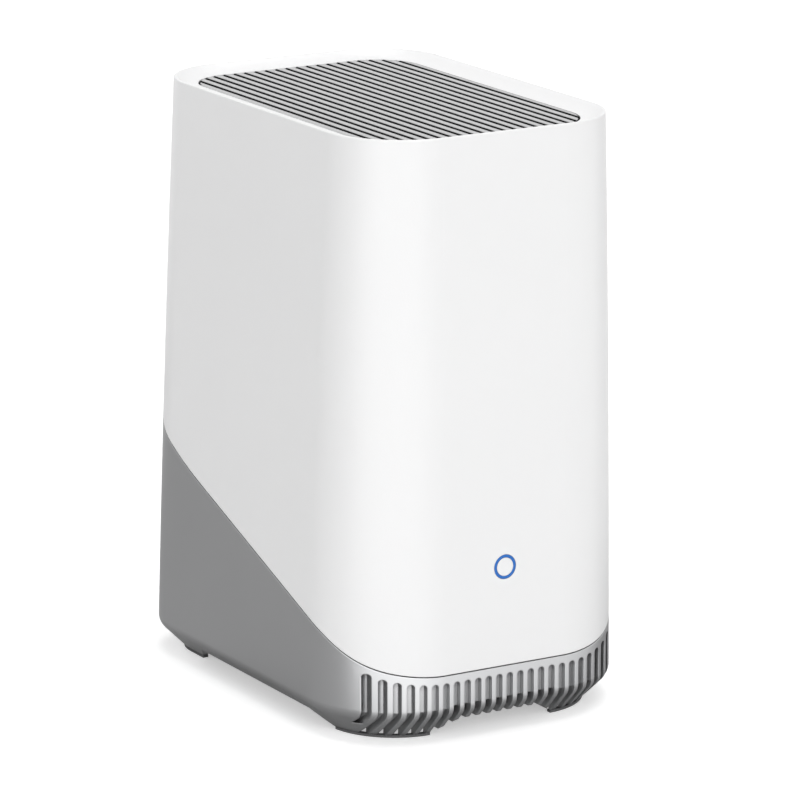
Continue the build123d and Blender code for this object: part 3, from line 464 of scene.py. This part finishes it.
axis_group = make_axis_group()
print("effect", axis_group.name)

# %% [markdown]
# ## Base recipe for every finish
# A finish is one Principled shader: a colour that varies a few percent in slow patches, a
# roughness that follows the patches, the fine grain as bump, and soft edges under it.
# Moulded plastic, painted plastic, rubber and metal differ only in these numbers, so one
# function makes them all. A painted image would need every solid unwrapped; patterns that
# are worked out from the place on the object do not. All sizes and depths are in metres.

# %% Recipe
patch_size = 0.06
finishes = {}


def place_group(tree, group, **values):
    node = tree.nodes.new("ShaderNodeGroup")
    node.node_tree = group
    for label, value in values.items():
        node.inputs[label.replace("_", " ")].default_value = value
    return node


def relief(tree, bsdf, height, depth):
    """Makes a height the surface's relief, in place of any that it had."""
    bump = tree.nodes.new("ShaderNodeBump")
    bump.inputs["Distance"].default_value = depth
    link(tree, height, bump.inputs["Height"])
    link(tree, bump.outputs["Normal"], bsdf.inputs["Normal"])
    return bump


def shown_color(tree, color, patch, tone, cavity):
    """The colour with its patches, with painted shade in cavities set by a reach and a darkest
    share.
    """
    dark, light = ([min(c * share, 1.0) for c in color] for share in (1 - tone, 1 + tone))
    shown = mix_colors(tree, patch, (*dark, 1), (*light, 1))
    if cavity:
        shade = place_group(tree, painted_shade_group, Reach=cavity[0], Darkest=cavity[1])
        # Painted shade in the colour: it goes towards black in slots and gaps.
        shown = mix_colors(tree, shade.outputs["Shade"], (0.0, 0.0, 0.0, 1), shown)
    return shown


def coat_of(tree, color, roughness, metallic=0.0, grain_size=0.0005, grain_depth=0.00002,
            edge=0.0003, tone=0.03, spread=0.05, brushed=None, cavity=None):
    """Adds one finish to a material's tree and returns its Principled shader."""
    bsdf = tree.nodes.new("ShaderNodeBsdfPrincipled")
    bsdf.inputs["Metallic"].default_value = metallic
    grain = place_group(tree, grain_group, Grain_Size=grain_size, Patch_Size=patch_size)
    patch = grain.outputs["Patch"]
    if tone or cavity:
        link(tree, shown_color(tree, color, patch, tone, cavity), bsdf.inputs["Base Color"])
    else:
        bsdf.inputs["Base Color"].default_value = (*color, 1)
    rough = ramp(tree, patch, 0.0, 1.0, roughness - spread, roughness + spread)
    link(tree, rough, bsdf.inputs["Roughness"])
    height = grain.outputs["Height"]
    if brushed:
        height = place_group(tree, brushed_group, Stretch=brushed).outputs["Height"]
    bump = relief(tree, bsdf, height, grain_depth)
    edges = place_group(tree, soft_edge_group, Radius=edge)
    link(tree, edges.outputs["Normal"], bump.inputs["Normal"])
    return bsdf


def plain_finish(name, *args, **values):
    mat, tree, out = new_material(name)
    link(tree, coat_of(tree, *args, **values).outputs[0], out.inputs["Surface"])
    return mat


print("recipe ready")

# %% Zones of a finish
def zoned(tree, mask, outside, inside, out):
    """Shows one shader outside a mask and another inside it."""
    link(tree, mix_shaders(tree, mask, outside, inside).outputs[0], out.inputs["Surface"])


def box_mask(tree, low, high):
    centre = in_metres((a + b) / 2 for a, b in zip(low, high))
    half = in_metres((b - a) / 2 for a, b in zip(low, high))
    return place_group(tree, box_mask_group, Centre=centre, Half_Size=half).outputs["Mask"]


def from_axis(tree, point, across):
    axis = place_group(tree, axis_group, Point=in_metres(point), Across=across)
    return axis.outputs["Distance"]


def near_axis(tree, point, across, radius):
    return math_node(tree, "LESS_THAN", from_axis(tree, point, across), radius * MM)


print("zones ready")

# %% [markdown]
# ## White shell
# The shell is satin ABS with a spark-eroded grain too fine to see from a metre away: it
# only breaks up the highlights. Light from the ring leaks a little through the wall around
# it, so the shell has a faint halo there, drawn by distance from the ring's axis.

# %% White shell
ring_height = 53.2
ring_radius = 3.85
halo_radius = 1.9 * ring_radius
halo_strength = 0.02
round_y = (1.0, 0.0, 1.0)


def make_shell_finish():
    mat, tree, out = new_material("shell_white")
    # Painted shade: the colour darkens in the seam and other crevices of the shell.
    bsdf = coat_of(tree, (0.80, 0.80, 0.802), 0.34, edge=0.0004, tone=0.006,
                   cavity=(0.0015, 0.2))
    away = from_axis(tree, (0, 0, ring_height), round_y)
    fade = ramp(tree, away, ring_radius * MM, halo_radius * MM, halo_strength, 0.0,
                curve="SMOOTHERSTEP")
    front = box_mask(tree, (-12, -80, 40), (12, -60, 66))
    bsdf.inputs["Emission Color"].default_value = (0.55, 0.75, 1.0, 1)
    link(tree, math_node(tree, "MULTIPLY", fade, front), bsdf.inputs["Emission Strength"])
    link(tree, bsdf.outputs[0], out.inputs["Surface"])
    return mat


finishes["shell"] = make_shell_finish()
print("finish", finishes["shell"].name)

# %% [markdown]
# ## Silver-grey base
# The base is plastic with a satin metallic coat. It mirrors the room softly, so it is
# dark along the flat side, and bright on the rounded corner and on the ribs that face the
# soft boxes. The flakes in the coat are the moulding grain again, made finer and flatter.
# The sync button at the rear has the same coat in a lighter grey.

# %% Silver-grey base
# Painted shade: the colour darkens in the slots of the skirt and in other gaps.
def make_base_finish(name, color):
    return plain_finish(name, color, 0.34, metallic=0.85, grain_size=0.00018,
                        grain_depth=0.000006, edge=0.0005, tone=0.02, spread=0.03,
                        cavity=(0.0024, 0.15))


finishes["base"] = make_base_finish("base_silver_grey", (0.49, 0.493, 0.50))
finishes["button"] = make_base_finish("button_silver_grey", (0.58, 0.585, 0.595))
print("finishes", finishes["base"].name, finishes["button"].name)

# %% [markdown]
# ## Ring light
# A clear light guide carries the colour of the lamps behind it to the front. Only its ring
# is seen, because a white cap fills the middle. It gives off light itself and has a
# glossy face.

# %% Ring light
def make_ring_finish():
    mat, tree, out = new_material("ring_blue")
    bsdf = coat_of(tree, (0.005, 0.07, 0.26), 0.25, tone=0.0)
    bsdf.inputs["Emission Color"].default_value = (0.0, 0.17, 0.65, 1)
    bsdf.inputs["Emission Strength"].default_value = 0.35
    link(tree, bsdf.outputs[0], out.inputs["Surface"])
    return mat


finishes["light"] = make_ring_finish()
print("finish", finishes["light"].name)

# %% [markdown]
# ## Grille
# The slats are the same plastic in a greyer white. Little light reaches the gaps between them,
# so painted shade puts a near-black coat on the flanks of the slats just below their rounded
# tops. The outer rim of the grille stays light, because the mask stops at the outermost slats.

# %% Grille
slat_top = 187.8
painted_shade_depth = 0.15
outer_slat = 38.4
flank_limit = 0.35


def make_grille_finish():
    mat, tree, out = new_material("grille_white")
    bsdf = coat_of(tree, (0.42, 0.42, 0.425), 0.30, edge=0.00045, tone=0.01)
    flank = math_node(tree, "GREATER_THAN", facing(tree, to_right), flank_limit)
    x, _, z = split(tree, object_place(tree))
    inner = math_node(tree, "LESS_THAN", math_node(tree, "ABSOLUTE", x), outer_slat * MM)
    depth = ramp(tree, z, slat_top * MM, (slat_top - painted_shade_depth) * MM, 0.0, 1.0)
    shade = math_node(tree, "MULTIPLY", math_node(tree, "MULTIPLY", flank, inner), depth)
    # Painted shade: a near-black coat on the flanks, where little light reaches.
    dark = coat_of(tree, (0.008, 0.008, 0.008), 0.9)
    dark.inputs["Specular IOR Level"].default_value = 0.1
    zoned(tree, shade, bsdf, dark, out)
    return mat


finishes["grille"] = make_grille_finish()
print("finish", finishes["grille"].name)

# %% [markdown]
# ## Foam
# Under the grille lies a black sheet of open-cell foam that keeps dust out. It is also painted
# shade: its black makes the gaps between the slats look dark. Its cells are only a millimetre
# wide, so a relief in the shader shows them well enough.

# %% Foam
def make_foam_finish():
    mat, tree, out = new_material("filter_foam")
    # Near-black partly as painted shade for the gaps of the grille.
    bsdf = coat_of(tree, (0.012, 0.012, 0.013), 0.9)
    cells = place_group(tree, cell_group, Cell_Size=0.0011)
    relief(tree, bsdf, cells.outputs["Height"], 0.0005)
    link(tree, bsdf.outputs[0], out.inputs["Surface"])
    return mat


finishes["foam"] = make_foam_finish()
print("finish", finishes["foam"].name)

# %% [markdown]
# ## Sockets
# A socket is one solid in the CAD model, but two materials in life: a tinned shell or a
# black body, and a port lined with another. The port is a box or a round bore of the part,
# so a mask tells the two apart.

# %% Sockets
tin = dict(color=(0.62, 0.62, 0.63), roughness=0.28, metallic=1.0, brushed=(1.0, 1.0, 0.04))
black = dict(color=(0.014, 0.014, 0.016), roughness=0.42)
nickel = dict(color=(0.66, 0.64, 0.60), roughness=0.22, metallic=1.0)
network_port = ((-5.0, 57.9, 50.9), (6.4, 70.9, 63.1))
usb_tongue = ((-2.3, 57.0, 34.3), (-0.2, 69.2, 45.7))
jack_axis = (0, 0, 26.5)
jack_pin_radius = 1.05


def make_boxed_finish(name, zone):
    """Tinned sheet with a black part inside a box."""
    mat, tree, out = new_material(name)
    mask = box_mask(tree, *zone)
    zoned(tree, mask, coat_of(tree, **tin), coat_of(tree, **black), out)
    return mat


def make_jack_finish():
    mat, tree, out = new_material("power_jack")
    pin = near_axis(tree, jack_axis, round_y, jack_pin_radius)
    zoned(tree, pin, coat_of(tree, **black), coat_of(tree, **nickel), out)
    return mat


own_finishes = {
    "ethernet_socket": make_boxed_finish("network_socket", network_port),
    "usb_socket": make_boxed_finish("usb_socket", usb_tongue),
    "dc_jack": make_jack_finish(),
}
print("finishes", [mat.name for mat in own_finishes.values()])

# %% [markdown]
# ## Circuit board
# The broad faces wear green solder mask over copper, which stands out as slightly raised
# lines. The cut edges show the bare glass fibre. Round each screw hole lies a ring of
# tinned copper. The board lies across one axis, and this tells the broad faces from the
# cut ones.

# %% Circuit board
track_cells_per_metre = 260.0
track_width = 0.06
track_height = 0.00004
land_radius = 2.4
round_x = (0.0, 1.0, 1.0)
round_z = (1.0, 1.0, 0.0)


def make_board_finish(name, holes=(), across=round_x):
    mat, tree, out = new_material(name)
    mask_coat = coat_of(tree, (0.012, 0.085, 0.035), 0.30, tone=0.08)
    lines = tree.nodes.new("ShaderNodeTexVoronoi")
    lines.feature = "DISTANCE_TO_EDGE"
    lines.inputs["Scale"].default_value = track_cells_per_metre
    link(tree, object_place(tree), lines.inputs["Vector"])
    copper = math_node(tree, "LESS_THAN", lines.outputs["Distance"], track_width)
    relief(tree, mask_coat, copper, track_height)
    fibre = coat_of(tree, (0.42, 0.36, 0.16), 0.6)
    broad = facing(tree, tuple(1.0 - c for c in across))
    cut = math_node(tree, "LESS_THAN", broad, 0.5)
    shown = mix_shaders(tree, cut, mask_coat, fibre)
    if holes:
        lands = near_axis(tree, holes[0], across, land_radius)
        for hole in holes[1:]:
            land = near_axis(tree, hole, across, land_radius)
            lands = math_node(tree, "MAXIMUM", lands, land)
        tinned = coat_of(tree, (0.75, 0.74, 0.70), 0.3, metallic=1.0)
        shown = mix_shaders(tree, lands, shown, tinned)
    link(tree, shown.outputs[0], out.inputs["Surface"])
    return mat


board_holes = [(0, y, z) for y in (-45.0, 55.0) for z in (27.0, 145.0)]
finishes["board"] = make_board_finish("board_green")
own_finishes["main_board"] = make_board_finish("main_board_green", holes=board_holes)
own_finishes["drive_board"] = make_board_finish("drive_board_green", across=round_z)
own_finishes["status_board"] = make_board_finish("status_board_green", across=round_y)
print("board finishes made, the largest with", len(board_holes), "lands")

# %% [markdown]
# ## Winding
# The fan's coils are turns of lacquered wire. Each turn would be a fine ring of its own, but
# they hide under the blades, so a wave up the fan's axis gives the turns as a relief, and the
# colour is that of clear lacquer over copper.

# %% Winding
def make_winding_finish():
    mat, tree, out = new_material("copper_winding")
    bsdf = coat_of(tree, (0.60, 0.24, 0.09), 0.3, metallic=1.0)
    turns = tree.nodes.new("ShaderNodeTexWave")
    turns.bands_direction = "Z"
    turns.inputs["Scale"].default_value = 800.0
    link(tree, object_place(tree), turns.inputs["Vector"])
    relief(tree, bsdf, turns.outputs["Fac"], 0.0001)
    link(tree, bsdf.outputs[0], out.inputs["Surface"])
    return mat


finishes["copper"] = make_winding_finish()
print("finish", finishes["copper"].name)

# %% [markdown]
# ## Speaker
# From below the speaker is a pressed metal rim round a paper cone. The solid has the form
# of both, so the finish only tells them apart, by the distance from the speaker's axis.

# %% Speaker
speaker_axis = (12.02, -42.0, 0.0)
cone_radius = 13.2


def make_speaker_finish():
    mat, tree, out = new_material("speaker")
    paper = coat_of(tree, (0.035, 0.033, 0.03), 0.85, grain_size=0.0008, grain_depth=0.00008)
    rim = coat_of(tree, (0.10, 0.10, 0.105), 0.35, metallic=0.8)
    zoned(tree, near_axis(tree, speaker_axis, round_z, cone_radius), rim, paper, out)
    return mat


own_finishes["speaker"] = make_speaker_finish()
print("finish", own_finishes["speaker"].name)

# %% [markdown]
# ## Plain finishes
# What is left needs no zones: rubber pads, dark moulded parts, plated sheet and screws. The
# recipe with other numbers makes each of them. Then every solid of the CAD model gets the
# finish of its slot, or its own where it has one.

# %% Plain finishes, and a finish on every solid
finishes.update({
    "pads": plain_finish("pad_rubber", (0.10, 0.10, 0.102), 0.75, grain_depth=0.00005),
    "led": plain_finish("led_resin", (0.85, 0.80, 0.45), 0.15),
    "inner_plastic": plain_finish("inner_dark_plastic", (0.055, 0.055, 0.06), 0.5,
                                  grain_depth=0.00004),
    "black_plastic": plain_finish("black_plastic", **black),
    "sheet_steel": plain_finish("zinc_sheet", (0.52, 0.53, 0.55), 0.35, metallic=1.0,
                                grain_size=0.004, tone=0.12),
    "socket_metal": plain_finish("tinned_sheet", **tin),
    "sink_metal": plain_finish("extruded_aluminium", (0.66, 0.67, 0.68), 0.34, metallic=1.0,
                               brushed=(1.0, 1.0, 0.02)),
    "screws": plain_finish("zinc_screw", (0.50, 0.50, 0.52), 0.3, metallic=1.0),
})
node_slots = {part["node"]: part["material_slot"] for part in frame["record"]["subparts"]}
for node, piece in nodes.items():
    for slot in piece.material_slots:
        slot.material = own_finishes.get(node, finishes[node_slots[node]])
print("finishes", len(finishes), "own finishes", len(own_finishes))

# %% [markdown]
# ## Small fittings
# The pieces below are too fine for the CAD model: contacts, leads, chips and the small
# lamps of the network socket. Each is a plain mesh that rides on the body it is fixed to.

# %% Helpers for pieces
def add_piece(name, mesh, material, body):
    mesh.name = name
    mesh.materials.clear()
    mesh.materials.append(material)
    piece = bpy.data.objects.new(name, mesh)
    bpy.context.collection.objects.link(piece)
    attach(piece, body)
    return piece


def to_mesh(bm, name):
    mesh = bpy.data.meshes.new(name)
    bm.to_mesh(mesh)
    bm.free()
    return mesh


def mesh_of_boxes(boxes):
    """A mesh of plain boxes, each given by its low and high corner in millimetres."""
    bm = bmesh.new()
    for low, high in boxes:
        size = in_metres(b - a for a, b in zip(low, high))
        centre = in_metres((a + b) / 2 for a, b in zip(low, high))
        made = bmesh.ops.create_cube(bm, size=1.0)
        bmesh.ops.scale(bm, vec=size, verts=made["verts"])
        bmesh.ops.translate(bm, vec=centre, verts=made["verts"])
    return to_mesh(bm, "boxes")


print("helpers for pieces ready")

# %% [markdown]
# ## Rows of contacts
# Contacts and pins repeat at one pitch, so one Geometry Nodes tree makes them all: a line of
# points, a block on each point, and sizes as named inputs. A change of pitch is then a change
# of one number. The copies are made real at the end, and the result is kept as a plain mesh.

# %% Helpers for Geometry Nodes
def new_maker(name, inputs):
    """An empty Geometry Nodes tree with named inputs and one mesh as its result."""
    tree = bpy.data.node_groups.new(name, "GeometryNodeTree")
    for label, kind in inputs.items():
        tree.interface.new_socket(label, in_out="INPUT", socket_type="NodeSocket" + kind)
    tree.interface.new_socket("Geometry", in_out="OUTPUT", socket_type="NodeSocketGeometry")
    return tree, tree.nodes.new("NodeGroupInput")


def block_on_each(tree, start, points, turn):
    """A turned copy of one block on each point."""
    block = tree.nodes.new("GeometryNodeMeshCube")
    link(tree, start.outputs["Block"], block.inputs["Size"])
    copies = tree.nodes.new("GeometryNodeInstanceOnPoints")
    link(tree, points, copies.inputs["Points"])
    link(tree, block.outputs["Mesh"], copies.inputs["Instance"])
    link(tree, turn, copies.inputs["Rotation"])
    return copies.outputs["Instances"]


def end_maker(tree, start, copies):
    """Makes the copies real, gives them their finish and sends them out."""
    solid = tree.nodes.new("GeometryNodeRealizeInstances")
    link(tree, copies, solid.inputs["Geometry"])
    finish = tree.nodes.new("GeometryNodeSetMaterial")
    link(tree, solid.outputs["Geometry"], finish.inputs["Geometry"])
    link(tree, start.outputs["Finish"], finish.inputs["Material"])
    end = tree.nodes.new("NodeGroupOutput")
    link(tree, finish.outputs["Geometry"], end.inputs["Geometry"])


def baked(name, tree, values):
    """Runs a Geometry Nodes tree with the given inputs and returns the plain mesh."""
    carrier = bpy.data.objects.new(name + "_carrier", bpy.data.meshes.new(name))
    bpy.context.collection.objects.link(carrier)
    modifier = carrier.modifiers.new("made", "NODES")
    modifier.node_group = tree
    for item in tree.interface.items_tree:
        if item.in_out == "INPUT" and item.name in values:
            modifier[item.identifier] = values[item.name]
    evaluated = carrier.evaluated_get(bpy.context.evaluated_depsgraph_get())
    mesh = bpy.data.meshes.new_from_object(evaluated)
    carrier.modifiers.clear()
    bpy.data.objects.remove(carrier)
    return mesh


print("helpers for Geometry Nodes ready")

# %% Row of blocks
def make_row_tree():
    tree, start = new_maker("row_of_blocks", {
        "Count": "Int", "Start": "Vector", "Step": "Vector", "Block": "Vector",
        "Tilt": "Vector", "Finish": "Material",
    })
    line = tree.nodes.new("GeometryNodeMeshLine")
    link(tree, start.outputs["Count"], line.inputs["Count"])
    link(tree, start.outputs["Start"], line.inputs["Start Location"])
    link(tree, start.outputs["Step"], line.inputs["Offset"])
    end_maker(tree, start, block_on_each(tree, start, line.outputs["Mesh"],
                                         start.outputs["Tilt"]))
    return tree


row_tree = make_row_tree()
print("tree", row_tree.name)

# %% Contacts of the sockets
gold_finish = plain_finish("gold_contact", (0.80, 0.56, 0.20), 0.25, metallic=1.0,
                           grain_depth=0.0)
# The name, the count, the first place, the step and the block in millimetres, and how far
# a block is turned about z in degrees.
contact_rows = (
    ("network_contacts", 8, (-3.9, 65.4, 53.43), (0, 0, 1.02), (0.25, 7.0, 0.4), 16),
    ("usb_contacts", 4, (-0.27, 64.6, 36.5), (0, 0, 2.33), (0.1, 7.4, 1.1), 0),
    ("usb_rear_contacts", 5, (-0.27, 59.6, 36.0), (0, 0, 2.0), (0.1, 1.6, 0.7), 0),
    ("drive_signal_pins", 7, (-24.75, -17.6, 113.1), (0, 1.27, 0), (0.15, 0.6, 3.6), 0),
    ("drive_power_pins", 14, (-24.75, 2.2, 113.1), (0, 1.27, 0), (0.15, 0.6, 3.6), 0),
)
for name, count, first, step, block, turn in contact_rows:
    mesh = baked(name, row_tree, {
        "Count": count, "Start": in_metres(first), "Step": in_metres(step),
        "Block": in_metres(block), "Tilt": [0.0, 0.0, math.radians(turn)],
        "Finish": gold_finish,
    })
    add_piece(name, mesh, gold_finish, "housing")
print("rows of contacts", len(contact_rows))

# %% [markdown]
# ## Lamps of the network socket
# Two small windows sit beside the latch of the port. One is green and one is amber.

# %% Lamps of the network socket
for label, z, color in (("green", 51.2, (0.03, 0.30, 0.06)), ("amber", 62.8, (0.55, 0.22, 0.01))):
    lens = plain_finish("link_lamp_" + label, color, 0.2, tone=0.0)
    mesh = mesh_of_boxes([((4.2, 70.6, z - 1.3), (6.0, 71.2, z + 1.3))])
    add_piece("link_lamp_" + label, mesh, lens, "housing")
print("lamps of the network socket made")

# %% [markdown]
# ## Seal beside the power jack
# The jack sits in its opening with a little room round it. On its free side that room leads
# right into the body, so a pad of foam stands against the jack there and keeps out the light.

# %% Seal beside the power jack
seal = mesh_of_boxes([((4.5, 62.5, 22.0), (6.6, 65.5, 31.0))])
add_piece("jack_seal", seal, finishes["foam"], "housing")
print("seal made")

# %% [markdown]
# ## Parts on the main board
# Small capacitors and resistors are scattered over the free areas of the board by a second
# Geometry Nodes tree. Points keep a least distance, each block is turned one way or the
# other, and each area has its own fixed seed, so that every run gives the same board.

# %% Scatter of blocks
point_density = 400000.0


def make_scatter_tree():
    tree, start = new_maker("scatter_of_blocks", {
        "Area": "Vector", "Centre": "Vector", "Distance": "Float", "Block": "Vector",
        "Seed": "Int", "Finish": "Material",
    })
    size_x, size_y, _ = split(tree, start.outputs["Area"])
    sheet = tree.nodes.new("GeometryNodeMeshGrid")
    link(tree, size_x, sheet.inputs["Size X"])
    link(tree, size_y, sheet.inputs["Size Y"])
    points = tree.nodes.new("GeometryNodeDistributePointsOnFaces")
    points.distribute_method = "POISSON"
    points.inputs["Density Max"].default_value = point_density
    link(tree, sheet.outputs["Mesh"], points.inputs["Mesh"])
    link(tree, start.outputs["Distance"], points.inputs["Distance Min"])
    link(tree, start.outputs["Seed"], points.inputs["Seed"])
    choice = tree.nodes.new("FunctionNodeRandomValue")
    choice.data_type = "INT"
    choice.inputs[4].default_value = 0
    choice.inputs[5].default_value = 1
    link(tree, start.outputs["Seed"], choice.inputs["Seed"])
    turn = tree.nodes.new("ShaderNodeCombineXYZ")
    link(tree, math_node(tree, "MULTIPLY", choice.outputs[2], math.pi / 2), turn.inputs[2])
    placed = tree.nodes.new("GeometryNodeTransform")
    link(tree, block_on_each(tree, start, points.outputs["Points"], turn.outputs[0]),
         placed.inputs["Geometry"])
    link(tree, start.outputs["Centre"], placed.inputs["Translation"])
    placed.inputs["Rotation"].default_value = (0.0, math.pi / 2, 0.0)
    end_maker(tree, start, placed.outputs["Geometry"])
    return tree


scatter_tree = make_scatter_tree()
print("tree", scatter_tree.name)

# %% Capacitors and resistors
board_face = -6.75


def scatter(name, low, high, distance, block, seed, finish):
    """Blocks on the board's right face, in an area given by two (y, z) corners."""
    centre = (board_face + block[2] / 2, (low[0] + high[0]) / 2, (low[1] + high[1]) / 2)
    area = (high[1] - low[1], high[0] - low[0], 0.0)
    mesh = baked(name, scatter_tree, {
        "Area": in_metres(area), "Centre": in_metres(centre), "Distance": distance * MM,
        "Block": in_metres(block), "Seed": seed, "Finish": finish,
    })
    add_piece(name, mesh, finish, "housing")


capacitor_block = (1.6, 0.8, 0.8)
resistor_block = (1.0, 0.5, 0.4)
free_areas = (
    ("low_strip", (-38, 24), (46, 34), 3), ("rear_strip", (40, 86), (57, 138), 5),
    ("front_strip", (-47, 78), (-30, 138), 7), ("middle_strip", (-6, 42), (5, 72), 11),
)
ceramic = plain_finish("ceramic_capacitor", (0.42, 0.33, 0.22), 0.5)
resistor = plain_finish("resistor_black", (0.02, 0.02, 0.022), 0.4)
for name, low, high, seed in free_areas:
    scatter("capacitors_" + name, low, high, 3.4, capacitor_block, seed, ceramic)
    scatter("resistors_" + name, low, high, 3.0, resistor_block, seed + 20, resistor)
print("areas of the board filled", len(free_areas))

# %% [markdown]
# ## Chips and coils
# The larger parts have places of their own on the board. Each is a block that stands on the
# board's right face, so a corner pair in y and z and a thickness are all it needs.

# %% Chips and coils
def on_board(low_y, low_z, high_y, high_z, thickness):
    return (board_face, low_y, low_z), (board_face + thickness, high_y, high_z)


chips = mesh_of_boxes([
    on_board(-44, 96, -36, 104, 1.4), on_board(-44, 112, -38, 118, 1.0),
    on_board(42, 92, 54, 104, 1.6), on_board(43, 112, 51, 120, 1.2),
    on_board(18, 82, 26, 88, 1.0), on_board(10, 24, 17, 31, 1.2),
])
coils = mesh_of_boxes([on_board(y, 36, y + 6.6, 42.6, 4.2) for y in (-2, 8, 18)])
ferrite = plain_finish("coil_ferrite", (0.09, 0.09, 0.095), 0.55, grain_depth=0.00008)
add_piece("small_chips", chips, finishes["black_plastic"], "housing")
add_piece("power_coils", coils, ferrite, "housing")
print("chips and coils made")

# %% [markdown]
# ## Leads
# Short leads join the fan, the speaker and the antennas to the board, and flat ribbons
# join the status lamps and the drive. Each runs through a gap that is there in the solids.
# A lead is a few points along its way, a smooth curve through them and a round skin.

# %% Helpers for leads
def skin(bm, rings):
    """Joins rings of vertices, one to the next, and closes both ends."""
    count = len(rings[0])
    for near, far in zip(rings, rings[1:]):
        for k in range(count):
            after = (k + 1) % count
            bm.faces.new((near[k], near[after], far[after], far[k]))
    bm.faces.new(list(reversed(rings[0])))
    bm.faces.new(rings[-1])


def between(a, b, c, d, t):
    """A point of the smooth curve from b to c that comes from a and goes on to d."""
    straight = 2 * b + (c - a) * t
    bent = (2 * a - 5 * b + 4 * c - d) * t**2
    return 0.5 * (straight + bent + (3 * b - a - 3 * c + d) * t**3)


def smooth_path(points, steps):
    knots = [Vector(p) * MM for p in points]
    knots = [2 * knots[0] - knots[1]] + knots + [2 * knots[-1] - knots[-2]]
    spans = zip(knots, knots[1:], knots[2:], knots[3:])
    return [between(*span, k / steps) for span in spans for k in range(steps)] + [knots[-2]]


def tube_mesh(points, radius, sides=8, steps=6):
    """A round lead through points in millimetres."""
    path = smooth_path(points, steps)
    bm = bmesh.new()
    rings = []
    side = Vector((0, 0, 1)).cross(path[1] - path[0])
    side = side.normalized() if side.length > 1e-9 else Vector((1, 0, 0))
    turns = [2 * math.pi * k / sides for k in range(sides)]
    for here, point in enumerate(path):
        ahead = (path[min(here + 1, len(path) - 1)] - path[max(here - 1, 0)]).normalized()
        side = (side - ahead * side.dot(ahead)).normalized()
        up = ahead.cross(side)
        rings.append([
            bm.verts.new(point + (side * math.cos(a) + up * math.sin(a)) * radius * MM)
            for a in turns
        ])
    skin(bm, rings)
    for face in bm.faces:
        face.smooth = True
    return to_mesh(bm, "lead")


print("helpers for leads ready")

# %% Leads
lead_finishes = {
    "red": plain_finish("lead_red", (0.35, 0.02, 0.02), 0.45),
    "black": plain_finish("lead_black", (0.015, 0.015, 0.016), 0.45),
    "yellow": plain_finish("lead_yellow", (0.6, 0.42, 0.03), 0.45),
    "grey": plain_finish("coax_grey", (0.22, 0.22, 0.23), 0.45),
}
antenna_runs = {
    "right": [(38.9, -12, 122), (39.2, -12, 118.5), (34, -14, 116), (24, -22, 98),
              (16, -32, 78), (4, -33, 66), (-1.5, -33, 62), (-3.3, -33, 60)],
    "left": [(-38.9, -20, 122), (-39.2, -24, 118.5), (-37, -36, 116), (-28, -48, 100),
             (-12, -55, 84), (-5, -54, 72), (-3.0, -46, 62), (-3.3, -40, 60)],
}


def add_lead(name, points, radius, label):
    mesh = tube_mesh(points, radius)
    add_piece(name, mesh, lead_finishes[label], "housing")


for place, label in enumerate(("red", "black", "yellow")):
    y = -20 + 1.1 * place
    run = [(40.2, y, 163.2), (43.4, y, 163.6), (44.9, y, 160.5), (44.9, y, 154),
           (38, y, 149), (20, y, 146.6), (2, y, 145), (-3.2, y, 144.6)]
    add_lead("fan_lead_" + label, run, 0.5, label)
for place, label in enumerate(("red", "black")):
    y = -18 + 1.2 * place
    run = [(9, -24.6, 38), (8, -22, 39), (4, y, 39), (-2, y, 36), (-3.2, y, 36)]
    add_lead("speaker_lead_" + label, run, 0.45, label)
for side, run in antenna_runs.items():
    add_lead("antenna_lead_" + side, run, 0.55, "grey")
print("leads made")

# %% Headers that the leads and the status ribbon end in
headers = mesh_of_boxes([
    on_board(-21.5, 142.6, -16.2, 146.6, 3.75), on_board(-19.5, 34.2, -15.2, 37.8, 3.75),
    on_board(-47.5, 51, -44.5, 58, 2.15),
])
cream = plain_finish("header_cream", (0.62, 0.58, 0.48), 0.45)
add_piece("lead_headers", headers, cream, "housing")
print("headers made")

# %% Flat ribbons
ribbon_thickness = 0.25
status_run = [(1.5, -67.3, 54.5), (1.2, -65.5, 54.5), (-0.5, -60, 54.5), (-3.5, -54, 54.5),
              (-5.2, -49, 54.5), (-5.2, -46, 54.5)]
drive_run = [(-18, 20, 118.6), (-16.5, 24, 119.6), (-14.5, 28.5, 119.8), (-12.4, 32, 118.5),
             (-10.6, 34.5, 115.5), (-9.6, 35, 112)]


def ribbon_mesh(points, width, axis):
    """A flat ribbon through points in millimetres, with its width along one axis."""
    wide = Vector(axis).normalized() * width / 2 * MM
    spots = [Vector(p) * MM for p in points]
    bm = bmesh.new()
    rings = []
    for here, spot in enumerate(spots):
        ahead = spots[min(here + 1, len(spots) - 1)] - spots[max(here - 1, 0)]
        thick = ahead.cross(wide).normalized() * ribbon_thickness / 2 * MM
        corners = ((wide, thick), (wide, -thick), (-wide, -thick), (-wide, thick))
        rings.append([bm.verts.new(spot + w + t) for w, t in corners])
    skin(bm, rings)
    bmesh.ops.recalc_face_normals(bm, faces=bm.faces)
    return to_mesh(bm, "ribbon")


ribbon_white = plain_finish("ribbon_white", (0.62, 0.62, 0.60), 0.4)
for name, run, width, axis in (("status_ribbon", status_run, 5.0, (0, 0, 1)),
                               ("drive_ribbon", drive_run, 6.0, (0.55, -0.8, 0.25))):
    mesh = ribbon_mesh(run, width, axis)
    add_piece(name, mesh, ribbon_white, "housing")
print("ribbons made")
